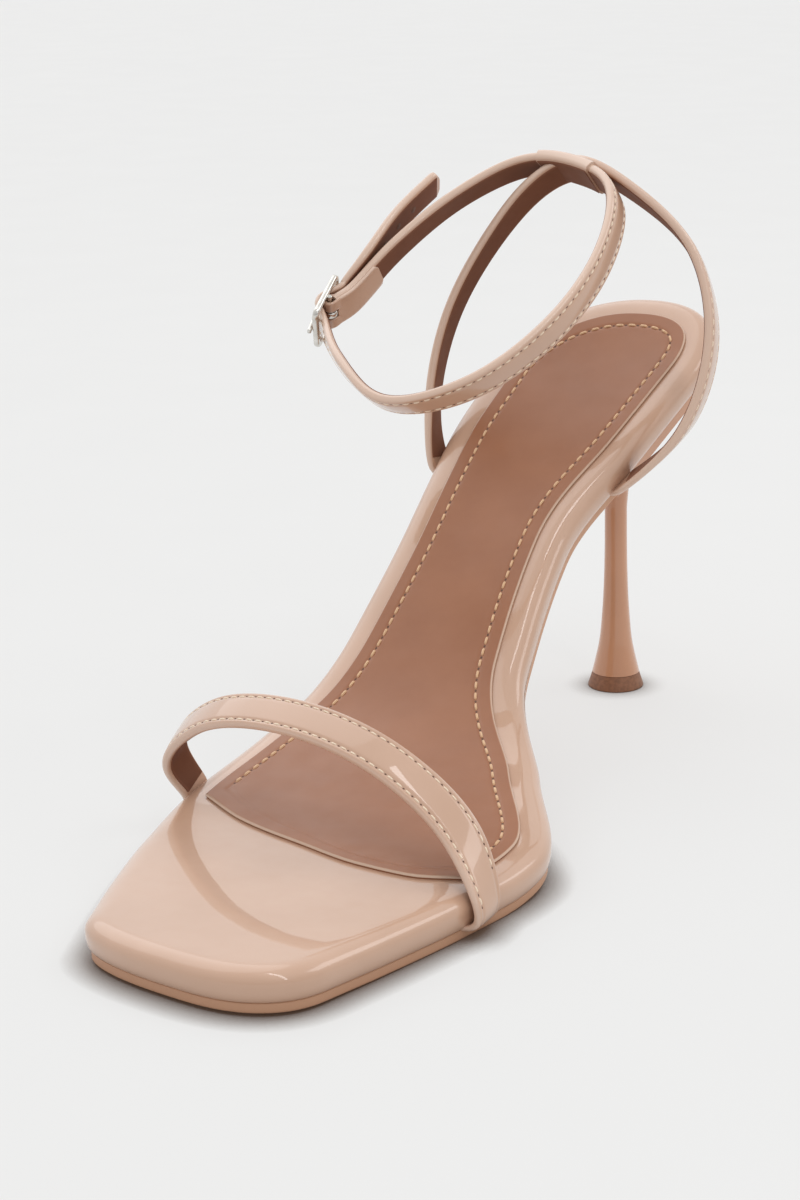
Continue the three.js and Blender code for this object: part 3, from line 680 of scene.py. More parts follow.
@dataclass
class Workshop:
    """Every finish made once, and the way that a piece joins the frame."""

    finishes: dict[str, bpy.types.Material] = field(default_factory=dict)

    def dress(self, piece: bpy.types.Object, finish: Finish, slot: Slot, *nodes: str) -> None:
        """Gives a piece its finish and its place in the frame.

        Args:
            piece: the object.
            finish: what it is covered in.
            slot: not used.
            *nodes: the CAD nodes that it stands for.
        """
        if finish.name not in self.finishes:
            self.finishes[finish.name] = finish.material()
        piece.data.materials.append(self.finishes[finish.name])
        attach(piece, "root")
        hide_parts(*nodes)
        log.info("%s: %d faces", piece.name, len(piece.data.polygons))


# The last


@dataclass(frozen=True)
class Last:
    """The last's sizes in mm, and its curves as shares of them."""

    foot_length: float = 216.0
    ball_width: float = 84.0
    heel_height: float = 84.0
    forefoot: float = 8.4
    toe_spring: float = 0.7
    toe_spring_at: float = 0.25
    toe_skew: float = 3.6
    toe_reach: float = 2.2
    skew_end_at: float = 0.3
    seat_turn: float = 6.4
    seat_cup: float = 1.5
    cup_at: float = 0.72
    cup_rise: float = 0.14
    profile_soft: float = 3.0
    toe_round_at: Pair = (0.039, 0.064)
    seat_round_at: float = 0.9
    toe_squareness: Pair = (2.7, 2.4)
    seat_roundness: float = 2.2
    breast_at: float = 0.775
    ankle_height: float = 69.0
    footbed_thickness: float = 5.7
    dense: int = 1200
    outline_at: Row = (0, .05, .12, .22, .32, .45, .57, .69, .80, .90)
    lateral: Row = (.245, .289, .350, .424, .471, .429, .358, .335, .339, .307)
    medial: Row = (.300, .330, .388, .460, .506, .345, .163, .137, .214, .285)
    profile_at: Row = (0, .27, .36, .44, .50, .56, .62, .72, .82, .91, 1)
    profile_rise: Row = (0, 0, .028, .070, .122, .222, .343, .533, .703, .850, 1)

    @cached_property
    def profile(self) -> tuple[Array, Array, Array]:
        """Places along the last, the footbed's height there and how steeply it climbs.

        The rise is the table's smooth curve, carried on straight past the seat and blurred a
        little; near the tip the toe spring lifts it by the square of the distance.

        Returns:
            The places, the heights and the angles in radians.
        """
        at = np.linspace(-0.1, 1.1, 1201)
        rise = table_curve(self.profile_at, self.profile_rise)(at)
        last_step = np.diff(self.profile_rise)[-1] / np.diff(self.profile_at)[-1]
        rise = rise + np.maximum(at - 1, 0) * last_step
        rows_per_mm = 1 / self.foot_length / (at[1] - at[0])
        rise = blur(rise * self.heel_height, self.profile_soft * rows_per_mm)
        climb = np.arctan(np.gradient(rise, at * self.foot_length))
        spring = self.toe_spring * np.clip(1 - at / self.toe_spring_at, 0, 1) ** 2
        return at, self.forefoot + rise + spring, climb

    def shares(self, at: Array, side: int = -1) -> tuple[Array, Array, Array]:
        """Middle and half width of the outline, and how much of it is left at a round end.

        Args:
            at: places along the last.
            side: -1 for the lateral corner of the toe, 1 for the rounder medial one.

        Returns:
            The middle, the half width and the share, from 1 down to 0 at the tips.
        """
        corner = 0 if side < 0 else 1
        round_at, square = self.toe_round_at[corner], self.toe_squareness[corner]
        place = np.clip(at, 0, self.seat_round_at)
        lateral = table_curve(self.outline_at, self.lateral)(place) * self.ball_width
        medial = table_curve(self.outline_at, self.medial)(place) * self.ball_width
        toe = np.clip((round_at - at) / round_at, 0, 1)
        seat = np.clip((at - self.seat_round_at) / (1 - self.seat_round_at), 0, 1)
        share = (1 - toe**square) ** (1 / square)
        share = share * (1 - seat**self.seat_roundness) ** (1 / self.seat_roundness)
        return (medial - lateral) / 2 + self.seat_turn * seat, (medial + lateral) / 2, share

    def edge_points(self, at: Array, side: int) -> Array:
        """Points of the outline from above, on the lateral side, -1, or the medial side, 1.

        Args:
            at: places along the last.
            side: -1 for the lateral side, 1 for the medial one.

        Returns:
            Rows of x and y.
        """
        middle, half, share = self.shares(at, side)
        fade = np.maximum(1 - at / self.skew_end_at, 0) ** 2
        y = at * self.foot_length - fade * (self.toe_skew * side * share + self.toe_reach)
        return np.stack([middle + side * half * share, y], axis=1)

    @cached_property
    def outline(self) -> tuple[Array, Array]:
        """The whole outline as one closed ring, and its inward directions.

        It runs from the toe along the lateral side to the back of the seat and home along the
        medial side, evenly spaced on each side and blurred by a millimetre.

        Returns:
            The ring and the directions, as rows of x and y.
        """
        turn = np.linspace(0, np.pi / 2, 300)
        seat = np.sin(turn) ** (2 / self.seat_roundness)
        seat = self.seat_round_at + (1 - self.seat_round_at) * seat
        halves = []
        for side, round_at, square in zip((-1, 1), self.toe_round_at, self.toe_squareness):
            toe = round_at * (1 - np.cos(turn) ** (2 / square))
            middle = np.linspace(round_at, self.seat_round_at, 800)[1:-1]
            points = self.edge_points(np.concatenate([toe, middle, seat]), side)
            length = arc_lengths(points)
            halves.append(read_rows(points, length, np.linspace(0, length[-1], self.dense + 1)))
        ring = np.concatenate([halves[0], halves[1][-2:0:-1]])
        ring = blur(ring, 5.0, closed=True)
        along = unit(np.roll(ring, -1, axis=0) - np.roll(ring, 1, axis=0))
        return ring, np.stack([along[:, 1], -along[:, 0]], axis=1)

    def side_line(self, inset: float, side: int) -> Array:
        """One side of the outline, moved inwards, from the toe to the back of the seat.

        Args:
            inset: how far it is moved.
            side: -1 for the lateral side, 1 for the medial one.

        Returns:
            Rows of x and y.
        """
        ring, inwards = self.outline
        moved = ring + inset * inwards
        if side < 0:
            return moved[:self.dense + 1]
        return np.concatenate([moved[:1], moved[:self.dense - 1:-1]])

    def height(self, at: Array) -> Array:
        """Height of the footbed's top."""
        places, heights, _ = self.profile
        return np.interp(at, places, heights)

    def cup(self, x: Array, at: Array) -> Array:
        """Depth of the hollow in which the heel sits: round across, and fading along.

        Args:
            x: places across.
            at: places along the last.

        Returns:
            The depths.
        """
        middle, half, share = self.shares(at)
        across = np.clip((x - middle) / np.maximum(half * share, 1), -1, 1)
        rise = np.clip((at - self.cup_at) / self.cup_rise, 0, 1)
        fall = np.clip((at - self.seat_round_at) / (1 - self.seat_round_at), 0, 1)
        along = (3 * rise**2 - 2 * rise**3) * (1 - (3 * fall**2 - 2 * fall**3))
        return self.seat_cup * along * (1 - across**2)

    def bottom(self, plan: Array, depth: Array | float) -> Array:
        """Points of the shoe's bottom, square to the footbed's top.

        Args:
            plan: points seen from above.
            depth: height over the footbed's top, for all or for each.

        Returns:
            The points in space.
        """
        at = np.clip(plan[..., 1] / self.foot_length, 0, 1)
        places, heights, climb = self.profile
        angle = np.interp(at, places, climb)
        offset = depth - self.cup(plan[..., 0], at)
        return np.stack([plan[..., 0], plan[..., 1] - np.sin(angle) * offset,
                         np.interp(at, places, heights) + np.cos(angle) * offset], axis=-1)

    def face_normal(self, plan: Array) -> Array:
        """Direction square to the footbed's top at points seen from above.

        Args:
            plan: rows of x and y.

        Returns:
            Directions of length one.
        """
        places, _, climb = self.profile
        angle = np.interp(np.clip(plan[:, 1] / self.foot_length, 0, 1), places, climb)
        return np.stack([0 * angle, -np.sin(angle), np.cos(angle)], axis=1)

    def route(self, shares: Array) -> Array:
        """Points of the ankle straps from shares of the named sizes: across, at, rise.

        Args:
            shares: rows of shares of the ball's width, the foot's length and the ankle's height.

        Returns:
            The points.
        """
        anchor = self.height(np.array(self.breast_at)) - self.footbed_thickness
        sizes = np.array([self.ball_width, self.foot_length, self.ankle_height])
        return shares * sizes + np.array([0, 0, anchor])


@dataclass(frozen=True)
class Layer:
    """One layer of the shoe's bottom: an area of the last's plan, with optional cut ends."""

    last: Last
    margin: float = 0.0
    front: Curve | None = None
    back_at: float | None = None
    points: int = 240
    columns: int = 24
    bow_fade: float = 45.0

    def side(self, inset: float, sign: int) -> Array:
        """Points along one side, closer together at both ends.

        Args:
            inset: distance inwards from the layer's edge.
            sign: -1 for the lateral side, 1 for the medial one.

        Returns:
            Rows of x and y.
        """
        line = self.last.side_line(self.margin + inset, sign)
        length = arc_lengths(line)
        size = self.last.foot_length
        past_tip = np.arange(len(line)) > 5

        def reached(y: float) -> float:
            """Length at which the line comes to y, once it has left the tip."""
            i = int(np.argmax((line[:, 1] >= y) & past_tip))
            return float(np.interp(y, line[i - 1:i + 1, 1], length[i - 1:i + 1]))

        start, end = 0.0, length[-1]
        if self.front is not None:
            start = reached(float(self.front(np.array(float(sign)))) * size + inset)
        if self.back_at is not None:
            end = reached(self.back_at * size - inset)
        t = np.linspace(0, 1, self.points + 1)
        eased = (t + (1 - np.cos(np.pi * t)) / 2) / 2
        return read_rows(line, length, start + (end - start) * eased)

    def rows(self, inset: float) -> Array:
        """Rows of points across the layer from its front to its back.

        Straight from side to side; near a front edge that is curved, they bow with it and
        straighten with the square of the distance.

        Args:
            inset: distance inwards from the layer's edge.

        Returns:
            Points seen from above, by row and column.
        """
        lateral, medial = self.side(inset, -1), self.side(inset, 1)
        share = np.linspace(0, 1, self.columns + 1)[None, :, None]
        rows = lateral[:, None] * (1 - share) + medial[:, None] * share
        if self.front is not None:
            edge = self.front(2 * share[0, :, 0] - 1) * self.last.foot_length + inset
            bow = edge - rows[0, :, 1]
            away = (lateral[:, 1] + medial[:, 1]) / 2
            fade = np.clip(1 - (away - away[0]) / self.bow_fade, 0, 1) ** 2
            rows[:, :, 1] += fade[:, None] * bow[None, :]
        return rows

    @staticmethod
    def rim(rows: Array) -> Array:
        """Outermost points of the rows in order round the layer, back to the first one."""
        return np.concatenate([rows[:, 0], rows[-1, 1:], rows[-2::-1, -1], rows[0, -2::-1]])

    def grids(self, levels: Array) -> list[Array]:
        """Closed skin of the layer.

        Args:
            levels: rows of inset and height over the footbed's top, from the top inner ring
                round the rim to the bottom inner ring.

        Returns:
            The wall of rings, the top face and the bottom face.
        """
        rings = [self.last.bottom(self.rim(self.rows(inset)), depth) for inset, depth in levels]
        top, bottom = (self.last.bottom(self.rows(inset), depth)
                       for inset, depth in (levels[0], levels[-1]))
        return [np.stack(rings), top, bottom]

    def skin(self, levels: Array, rings: Array, top: float = 0.0) -> Skin:
        """Closed skin with a mark for each ring, one for the top face and none below.

        Args:
            levels: rows of inset and height, as grids takes them.
            rings: the mark of each ring.
            top: the mark of the top face.

        Returns:
            The grids and their marks.
        """
        grids = self.grids(levels)
        return grids, [np.broadcast_to(rings[:, None], grids[0].shape[:2]),
                       np.full(grids[1].shape[:2], top), np.zeros(grids[2].shape[:2])]


# Straps


@dataclass
class Ribbon:
    """Path of a strap: its middle line, its width's direction and its outer face."""

    centre: Array
    across: Array
    outward: Array
    thickness: Array
    length: Array

    @classmethod
    def through(cls, stations: Array, facing: int, step: float = ROW_STEP, soft: float = 3.0
                ) -> "Ribbon":
        """Ribbon through stations.

        The middle line is a curve through all stations. Where a station is soft it is blurred
        by a few millimetres, and where it is firm by half a millimetre. The outer face is
        square to the way along and to the width.

        Args:
            stations: rows of centre, lean, thickness and softness, 8 numbers each.
            facing: 1 if the outer face is along x across, or -1.
            step: distance between the ribbon's rows in mm.
            soft: width of the blur in mm.

        Returns:
            The ribbon.
        """
        per_span = 60
        firm, leaning, fading = 0.5, 1.5, 2.0
        centre = spline(stations[:, :3], per_span, 0.5)
        lean = spline(stations[:, 3:6], per_span, 0.0)
        share = np.linspace(0, len(stations) - 1, len(centre))
        rest = read_rows(stations[:, 6:], np.arange(len(stations)), share)
        length = arc_lengths(centre)
        wanted = np.linspace(0, length[-1], int(length[-1] / step) + 1)
        centre, lean, rest = (read_rows(rows, length, wanted) for rows in (centre, lean, rest))
        weight = blur(rest[:, 1:], fading / step)
        centre = weight * blur(centre, soft / step) + (1 - weight) * blur(centre, firm / step)
        along = unit(np.gradient(centre, axis=0))
        lean = blur(unit(lean), leaning / step)
        across = unit(lean - along * (lean * along).sum(1, keepdims=True))
        outward = facing * np.cross(along, across)
        return cls(centre, across, outward, rest[:, 0], arc_lengths(centre))

    def part(self, start: float, end: float, shift: float = 0.0,
             thickness: float | None = None) -> "Ribbon":
        """Stretch of the ribbon.

        Args:
            start: length at which it starts.
            end: length at which it ends.
            shift: how far it is moved outwards.
            thickness: its thickness where that isn't the ribbon's own.

        Returns:
            The stretch.
        """
        wanted = np.linspace(start, end, max(int((end - start) / ROW_STEP), 4) + 1)
        centre, across, outward = (read_rows(rows, self.length, wanted)
                                   for rows in (self.centre, self.across, self.outward))
        outward = unit(outward)
        own = np.interp(wanted, self.length, self.thickness)
        return Ribbon(centre + shift * outward, unit(across), outward,
                      own if thickness is None else np.full_like(own, thickness),
                      wanted - start)


@dataclass(frozen=True)
class StrapCut:
    """How a strap is cut and folded: its section and its rounded end in mm."""

    width: float = 8.0
    edge: float = 0.85
    crown: float = 0.16
    groove: float = 0.22
    groove_width: float = 0.36
    stitch_inset: float = 1.3
    end_round: float = 0.0

    def relief(self, across: Array, half: Array, thickness: Array) -> Array:
        """How far the outer face stands over the strap's middle.

        Half the thickness, a low crown, less a groove along each row of stitches.

        Args:
            across: distances across.
            half: half the outer face's width.
            thickness: the strap's thickness.

        Returns:
            The heights.
        """
        share = np.clip(across / np.maximum(half, 0.1), -1, 1)
        dip = (np.abs(across) - (self.width / 2 - self.stitch_inset)) / self.groove_width
        swell = self.crown * (1 - share**2) - self.groove * np.exp(-(dip**2))
        return thickness / 2 + swell * np.clip(thickness - 0.9, 0, 1)

    def section(self, ribbon: Ribbon) -> tuple[Array, Array, Array]:
        """Loops of the strap's section along a ribbon.

        A crowned outer face, a round edge, a flat inner face and a round edge; near a rounded
        end the half width follows a quarter circle.

        Args:
            ribbon: the strap's path.

        Returns:
            Distance across, distance outwards and the mark of the edges, by row and loop.
        """
        size = self.end_round
        left = np.clip(size - (ribbon.length[-1] - ribbon.length), 0, size)
        half = self.width / 2 - (size - np.sqrt(size**2 - left**2))
        half, thick = half[:, None], ribbon.thickness[:, None]
        edge = np.minimum(self.edge, thick * 0.48)
        face = np.linspace(-1, 1, 33)[None, :] * (half - edge)
        turn = np.linspace(np.pi / 2, -np.pi / 2, 13)[1:-1][None, :]
        lower = np.where(turn > 0, thick / 2 - edge, edge - thick / 2)
        bend, drop = half - edge + edge * np.cos(turn), lower + edge * np.sin(turn)
        back = np.linspace(1, -1, 9)[None, :] * (half - edge)
        a = np.concatenate([face, bend, back, -bend[:, ::-1], face[:, :1]], axis=1)
        outer = self.relief(face, half - edge, thick)
        f = np.concatenate([outer, drop, 0 * back - thick / 2, drop[:, ::-1], outer[:, :1]],
                           axis=1)
        fold = np.exp(-((np.abs(a) - half) / 0.5) ** 2)
        return a, f, fold

    def skin(self, ribbon: Ribbon) -> Skin:
        """Skin of a strap, closed at both ends, and the marks of its edges.

        Args:
            ribbon: the strap's path.

        Returns:
            The grids and their marks.
        """
        a, f, fold = self.section(ribbon)
        skin = (ribbon.centre[:, None] + a[..., None] * ribbon.across[:, None]
                + f[..., None] * ribbon.outward[:, None])
        ends = (0, -1)
        return ([skin, *(closing(skin[i]) for i in ends)],
                [fold, *(np.stack([fold[i], fold[i]]) for i in ends)])

    def line(self, ribbon: Ribbon, across: float) -> "SeamLine":
        """Line of a seam on the outer face, at a distance across.

        Args:
            ribbon: the strap's path.
            across: distance from the middle line.

        Returns:
            The line.
        """
        half = np.full(len(ribbon.centre), self.width / 2 - self.edge)
        rise = self.relief(np.full(len(half), across), half, ribbon.thickness)
        points = ribbon.centre + across * ribbon.across + rise[:, None] * ribbon.outward
        return SeamLine(points, ribbon.outward)


@dataclass
class SeamLine:
    """Line on a surface along which stitches run, and the surface's direction there."""

    points: Array
    normals: Array

    def spots(self, places: Array) -> tuple[Array, Array, Array]:
        """Points, ways along and surface directions at lengths along the line.

        Args:
            places: lengths along the line.

        Returns:
            The points, the ways along and the directions off the surface.
        """
        length, probe = arc_lengths(self.points), 0.3
        points = read_rows(self.points, length, places)
        along = unit(read_rows(self.points, length, places + probe)
                     - read_rows(self.points, length, places - probe))
        return points, along, unit(read_rows(self.normals, length, places))


@dataclass(frozen=True)
class Seam:
    """A row of stitches: its sizes in mm."""

    pitch: float = 2.4
    stitch: float = 1.6
    thread: float = 0.22
    lift: float = 0.03
    dip: float = 0.3
    hole: float = 0.30
    dome: float = 0.07

    def places(self, line: SeamLine, start: float, end: float) -> Array:
        """Middles of the stitches between two lengths, spaced evenly.

        Args:
            line: where the row runs.
            start: length at which it starts.
            end: length at which it ends.

        Returns:
            The lengths.
        """
        total = arc_lengths(line.points)[-1]
        stop = min(end, total)
        count = max(int(round((stop - start) / self.pitch)), 1)
        return start + (np.arange(count) + 0.5) * (stop - start) / count

    def stitches(self, line: SeamLine, start: float, end: float) -> Array:
        """Threads lying on the surface.

        Each one is a round rod whose middle line dips by the fourth power of the distance from
        its middle into the holes at both ends, where its radius runs out to nothing.

        Args:
            line: where the row runs.
            start: length at which it starts.
            end: length at which it ends.

        Returns:
            One grid of points for each stitch.
        """
        ring = oval(6)
        t = np.linspace(-1, 1, 9)[:, None]
        radius = self.thread * np.sqrt(np.clip(1 - t**6, 0, 1))
        up = self.lift - self.dip * t**4 + radius * ring[:, 1]
        return strewn(line.spots(self.places(line, start, end)), t * self.stitch / 2 + 0 * up,
                      radius * ring[:, 0], up)

    def holes(self, line: SeamLine, start: float, end: float) -> Array:
        """Pinholes between the stitches: small domes, pressed flat on the surface, dressed dark
        as painted shade in place of a hole.

        Args:
            line: where the row runs.
            start: length at which it starts.
            end: length at which it ends.

        Returns:
            One grid of points for each hole.
        """
        places = self.places(line, start, end)
        half = (places[1] - places[0]) / 2 if len(places) > 1 else self.pitch / 2
        places = np.append(places - half, places[-1] + half)
        ring = oval(8)
        tilt = np.linspace(-np.pi / 2, np.pi / 2, 5)[:, None]
        radius = self.hole * np.cos(tilt)
        return strewn(line.spots(places), radius * ring[:, 0], radius * ring[:, 1],
                      self.dome * np.sin(tilt) + 0 * ring[:, 0])


PATENT = PatentLeather()
# The heel's patent is the footbed's leather made darker and redder: painted shade for the heel
# standing under the seat.
SHADED_HEEL_PATENT = PatentLeather(name="heel_patent_painted_shade", colour=(0.56, 0.275, 0.15),
                            deep=(0.52, 0.25, 0.135))
SOCK = SockLeather()
# Strap lining: a darker tan than the sock, made darker still as painted shade on the straps'
# inner faces.
LINING_PAINTED_SHADE = SockLeather(name="strap_lining_painted_shade", colour=(0.19, 0.072, 0.036),
                     deep=(0.15, 0.055, 0.027), worn=(0.22, 0.09, 0.05), matt=(0.62, 0.75),
                     grain=0.6, ior=1.35)
SOLE = SoleLeather()
THREAD = Thread()
SOCK_THREAD = Thread(name="tan_thread", colour=(0.80, 0.52, 0.30), deep=(0.68, 0.42, 0.23))
# Near-black leather for pinholes and punched holes: painted shade standing in for the dark
# inside of each hole.
PINHOLE_PAINTED_SHADE = SockLeather(name="pinhole_painted_shade", colour=(0.16, 0.08, 0.05), deep=(0.10, 0.05, 0.03),
                      worn=(0.16, 0.08, 0.05), matt=(0.7, 0.8))


def stations(centre: Array, lean: Array, thickness: float, soft: float) -> Array:
    """Stations of a strap: each centre with its lean, thickness and softness.

    Args:
        centre: points on the strap's middle line.
        lean: direction of its width, for all or for each.
        thickness: its thickness.
        soft: 1 where the path may be blurred, 0 where it stays.

    Returns:
        Rows of 8 numbers, as Ribbon.through takes them.
    """
    lean = np.broadcast_to(lean, centre.shape)
    rest = np.broadcast_to([thickness, soft], (len(centre), 2))
    return np.concatenate([centre, lean, rest], axis=1)


# Rows of distance out from the edge, height over the footbed's top, and thickness.
TUCKED = np.array([[1.4, -2.565, 1.8], [1.0, -5.0, 1.5], [-0.7, -5.95, 1.1], [-4.0, -6.05, 1.0]])


def tuck(last: Last, at: float, side: int, lean: Sequence[float]) -> Array:
    """Stations that turn a strap's end under the footbed, from outside inwards.

    Args:
        last: the last.
        at: place along it.
        side: -1 for the lateral side, 1 for the medial one.
        lean: direction of the strap's width.

    Returns:
        The stations.
    """
    edge = last.edge_points(np.array([at]), side)[0]
    plan = np.stack([edge[0] + side * TUCKED[:, 0], np.full(len(TUCKED), edge[1])], axis=1)
    rows = stations(last.bottom(plan, TUCKED[:, 1]), np.array(lean), 1.0, 0.0)
    rows[:, 6] = TUCKED[:, 2]
    return rows


def lining_cut(width: float) -> StrapCut:
    """Flat section of the lining of a strap of that width."""
    return StrapCut(width=width - 2 * LINING_MARGIN, edge=0.2, crown=0, groove=0)


def sew(shop: Workshop, name: str, cut: StrapCut, ribbon: Ribbon, span: Pair,
        node: str) -> None:
    """Two rows of stitches and their pinholes along a strap.

    Args:
        shop: the workshop.
        name: start of the pieces' names.
        cut: the strap's section.
        ribbon: the strap's path.
        span: lengths between which the rows run.
        node: CAD node that the strap stands for.
    """
    seam = Seam()
    offset = cut.width / 2 - cut.stitch_inset
    lines = [cut.line(ribbon, side * offset) for side in (-1, 1)]
    # The pinholes take the near-black leather: painted shade.
    for kind, form, finish in (("stitches", seam.stitches, THREAD),
                               ("pinholes", seam.holes, PINHOLE_PAINTED_SHADE)):
        grids = [form(line, *span) for line in lines]
        shop.dress(welded(f"{name}_{kind}", grids), finish, Slot.PATENT, node)


@dataclass
class SoleUnit:
    """Outsole, wrapped footbed and stitched sock."""

    last: Last
    rim_width: float = 4.6
    rim_under: float = 1.1
    rim_fullness: float = 2.2
    rim_middle: float = 2.9
    seam_depth: float = 6.2
    seam_gap: float = 0.1
    outsole_inset: float = 1.0
    outsole_edge: float = 0.5
    outsole_bevel: float = 0.15
    sock_inset: float = 6.0
    sock_thickness: float = 0.55
    sock_edge: float = 0.4
    seam_inset: float = 3.4
    seam_groove: float = 0.16
    seam_groove_width: float = 0.45
    seam_end: float = 2.5
    front_across: Row = (-1.0, -0.6, -0.1, 0.35, 0.7, 1.0)
    front_at: Row = (0.317, 0.282, 0.255, 0.234, 0.229, 0.243)

    def footbed(self) -> bpy.types.Object:
        """Platform in patent leather.

        Its rim is a quarter of a full oval above the middle of the edge, and a narrower one
        below it.

        Returns:
            The piece.
        """
        upper, lower = self.rim_middle, self.seam_depth - self.rim_middle
        turn = np.linspace(0, np.pi / 2, 13)
        power = 2 / self.rim_fullness
        above = np.stack([self.rim_width * (1 - np.sin(turn) ** power),
                          -upper * (1 - np.abs(np.cos(turn)) ** power)], axis=1)
        below = np.stack([self.rim_under * (1 - np.abs(np.cos(turn)) ** power),
                          -upper - lower * np.sin(turn) ** power], axis=1)
        inner = np.array([[self.rim_width + 1.5, 0.0]])
        levels = np.concatenate([inner, above, below[1:]])
        return welded("footbed_patent", Layer(self.last).grids(levels))

    def outsole(self) -> bpy.types.Object:
        """Thin leather sole with a painted edge, up to the breast of the heel.

        Returns:
            The piece.
        """
        top = -self.seam_depth - self.seam_gap
        low = -self.last.forefoot
        turn = np.linspace(0, np.pi / 2, 6)
        edge = self.outsole_edge * np.stack([1 - np.cos(turn), 1 - np.sin(turn)], axis=1)
        levels = np.concatenate([[[3.0, top], [self.outsole_bevel, top],
                                  [0.0, top - self.outsole_bevel]],
                                 edge + [0, low], [[1.0, low], [4.0, low]]])
        painted = np.where(np.arange(len(levels)) < len(levels) - 2, 1.0, 0.0)
        layer = Layer(self.last, margin=self.outsole_inset,
                      back_at=self.last.breast_at + self.seam_gap / self.last.foot_length)
        return welded("outsole_board", *layer.skin(levels, painted, 1.0))

    @property
    def sock_layer(self) -> Layer:
        """Area that the sock covers, with its curved front edge."""
        return Layer(self.last, margin=self.sock_inset,
                     front=table_curve(self.front_across, self.front_at))

    def sock_height(self, inset: Array) -> Array:
        """Height of the sock's face: a round edge, and a groove where it is stitched.

        Args:
            inset: distance inwards from the sock's edge.

        Returns:
            Heights over the footbed's top.
        """
        groove = np.exp(-(((inset - self.seam_inset) / self.seam_groove_width) ** 2))
        edge = np.clip(1 - inset / self.sock_edge, 0, 1)
        top = GAP + self.sock_thickness
        return top - self.seam_groove * groove - self.sock_edge * (1 - np.sqrt(1 - edge**2))

    def sock(self) -> bpy.types.Object:
        """Leather sock with a round cut edge.

        Its rings stand closer together towards the edge, below which the wall is drawn in a
        little before it meets the footbed.

        Returns:
            The piece.
        """
        inset = np.concatenate([np.linspace(6.0, 0.8, 27), [0.5, 0.3, 0.15, 0.05, 0.0]])
        face = np.stack([inset, self.sock_height(inset)], axis=1)
        levels = np.concatenate([face, [[0.0, 0.35], [0.12, 0.3], [0.12, 0.0], [2.0, 0.0]]])
        cut = np.append(np.clip(1 - inset / 0.55, 0, 1), [1.0, 0.0, 0.0, 0.0])
        return welded("sock_leather", *self.sock_layer.skin(levels, cut))

    def sock_seam(self) -> SeamLine:
        """Line of the sock's stitches: along both sides and round the seat.

        Returns:
            The line.
        """
        layer = self.sock_layer
        sides = [layer.side(self.seam_inset, sign) for sign in (-1, 1)]
        plan = np.concatenate([sides[0], sides[1][-2::-1]])
        depth = float(self.sock_height(np.array(self.seam_inset)))
        return SeamLine(self.last.bottom(plan, depth), self.last.face_normal(plan))

    def build(self, shop: Workshop) -> None:
        """Makes and dresses the pieces.

        Args:
            shop: what makes the finishes and joins a piece to the frame.
        """
        shop.dress(self.outsole(), SOLE, Slot.OUTSOLE, "outsole")
        shop.dress(self.footbed(), PATENT, Slot.PATENT, "footbed")
        shop.dress(self.sock(), SOCK, Slot.SOCK, "insole_sock")
        line = self.sock_seam()
        seam = Seam(pitch=3.0, stitch=2.1, thread=0.30, lift=0.12, hole=0.34)
        span = (self.seam_end, arc_lengths(line.points)[-1] - self.seam_end)
        shop.dress(welded("sock_stitches", [seam.stitches(line, *span)]), SOCK_THREAD,
                   Slot.SOCK, "insole_sock")
        # Dark pinholes: painted shade.
        shop.dress(welded("sock_pinholes", [seam.holes(line, *span)]), PINHOLE_PAINTED_SHADE, Slot.SOCK,
                   "insole_sock")


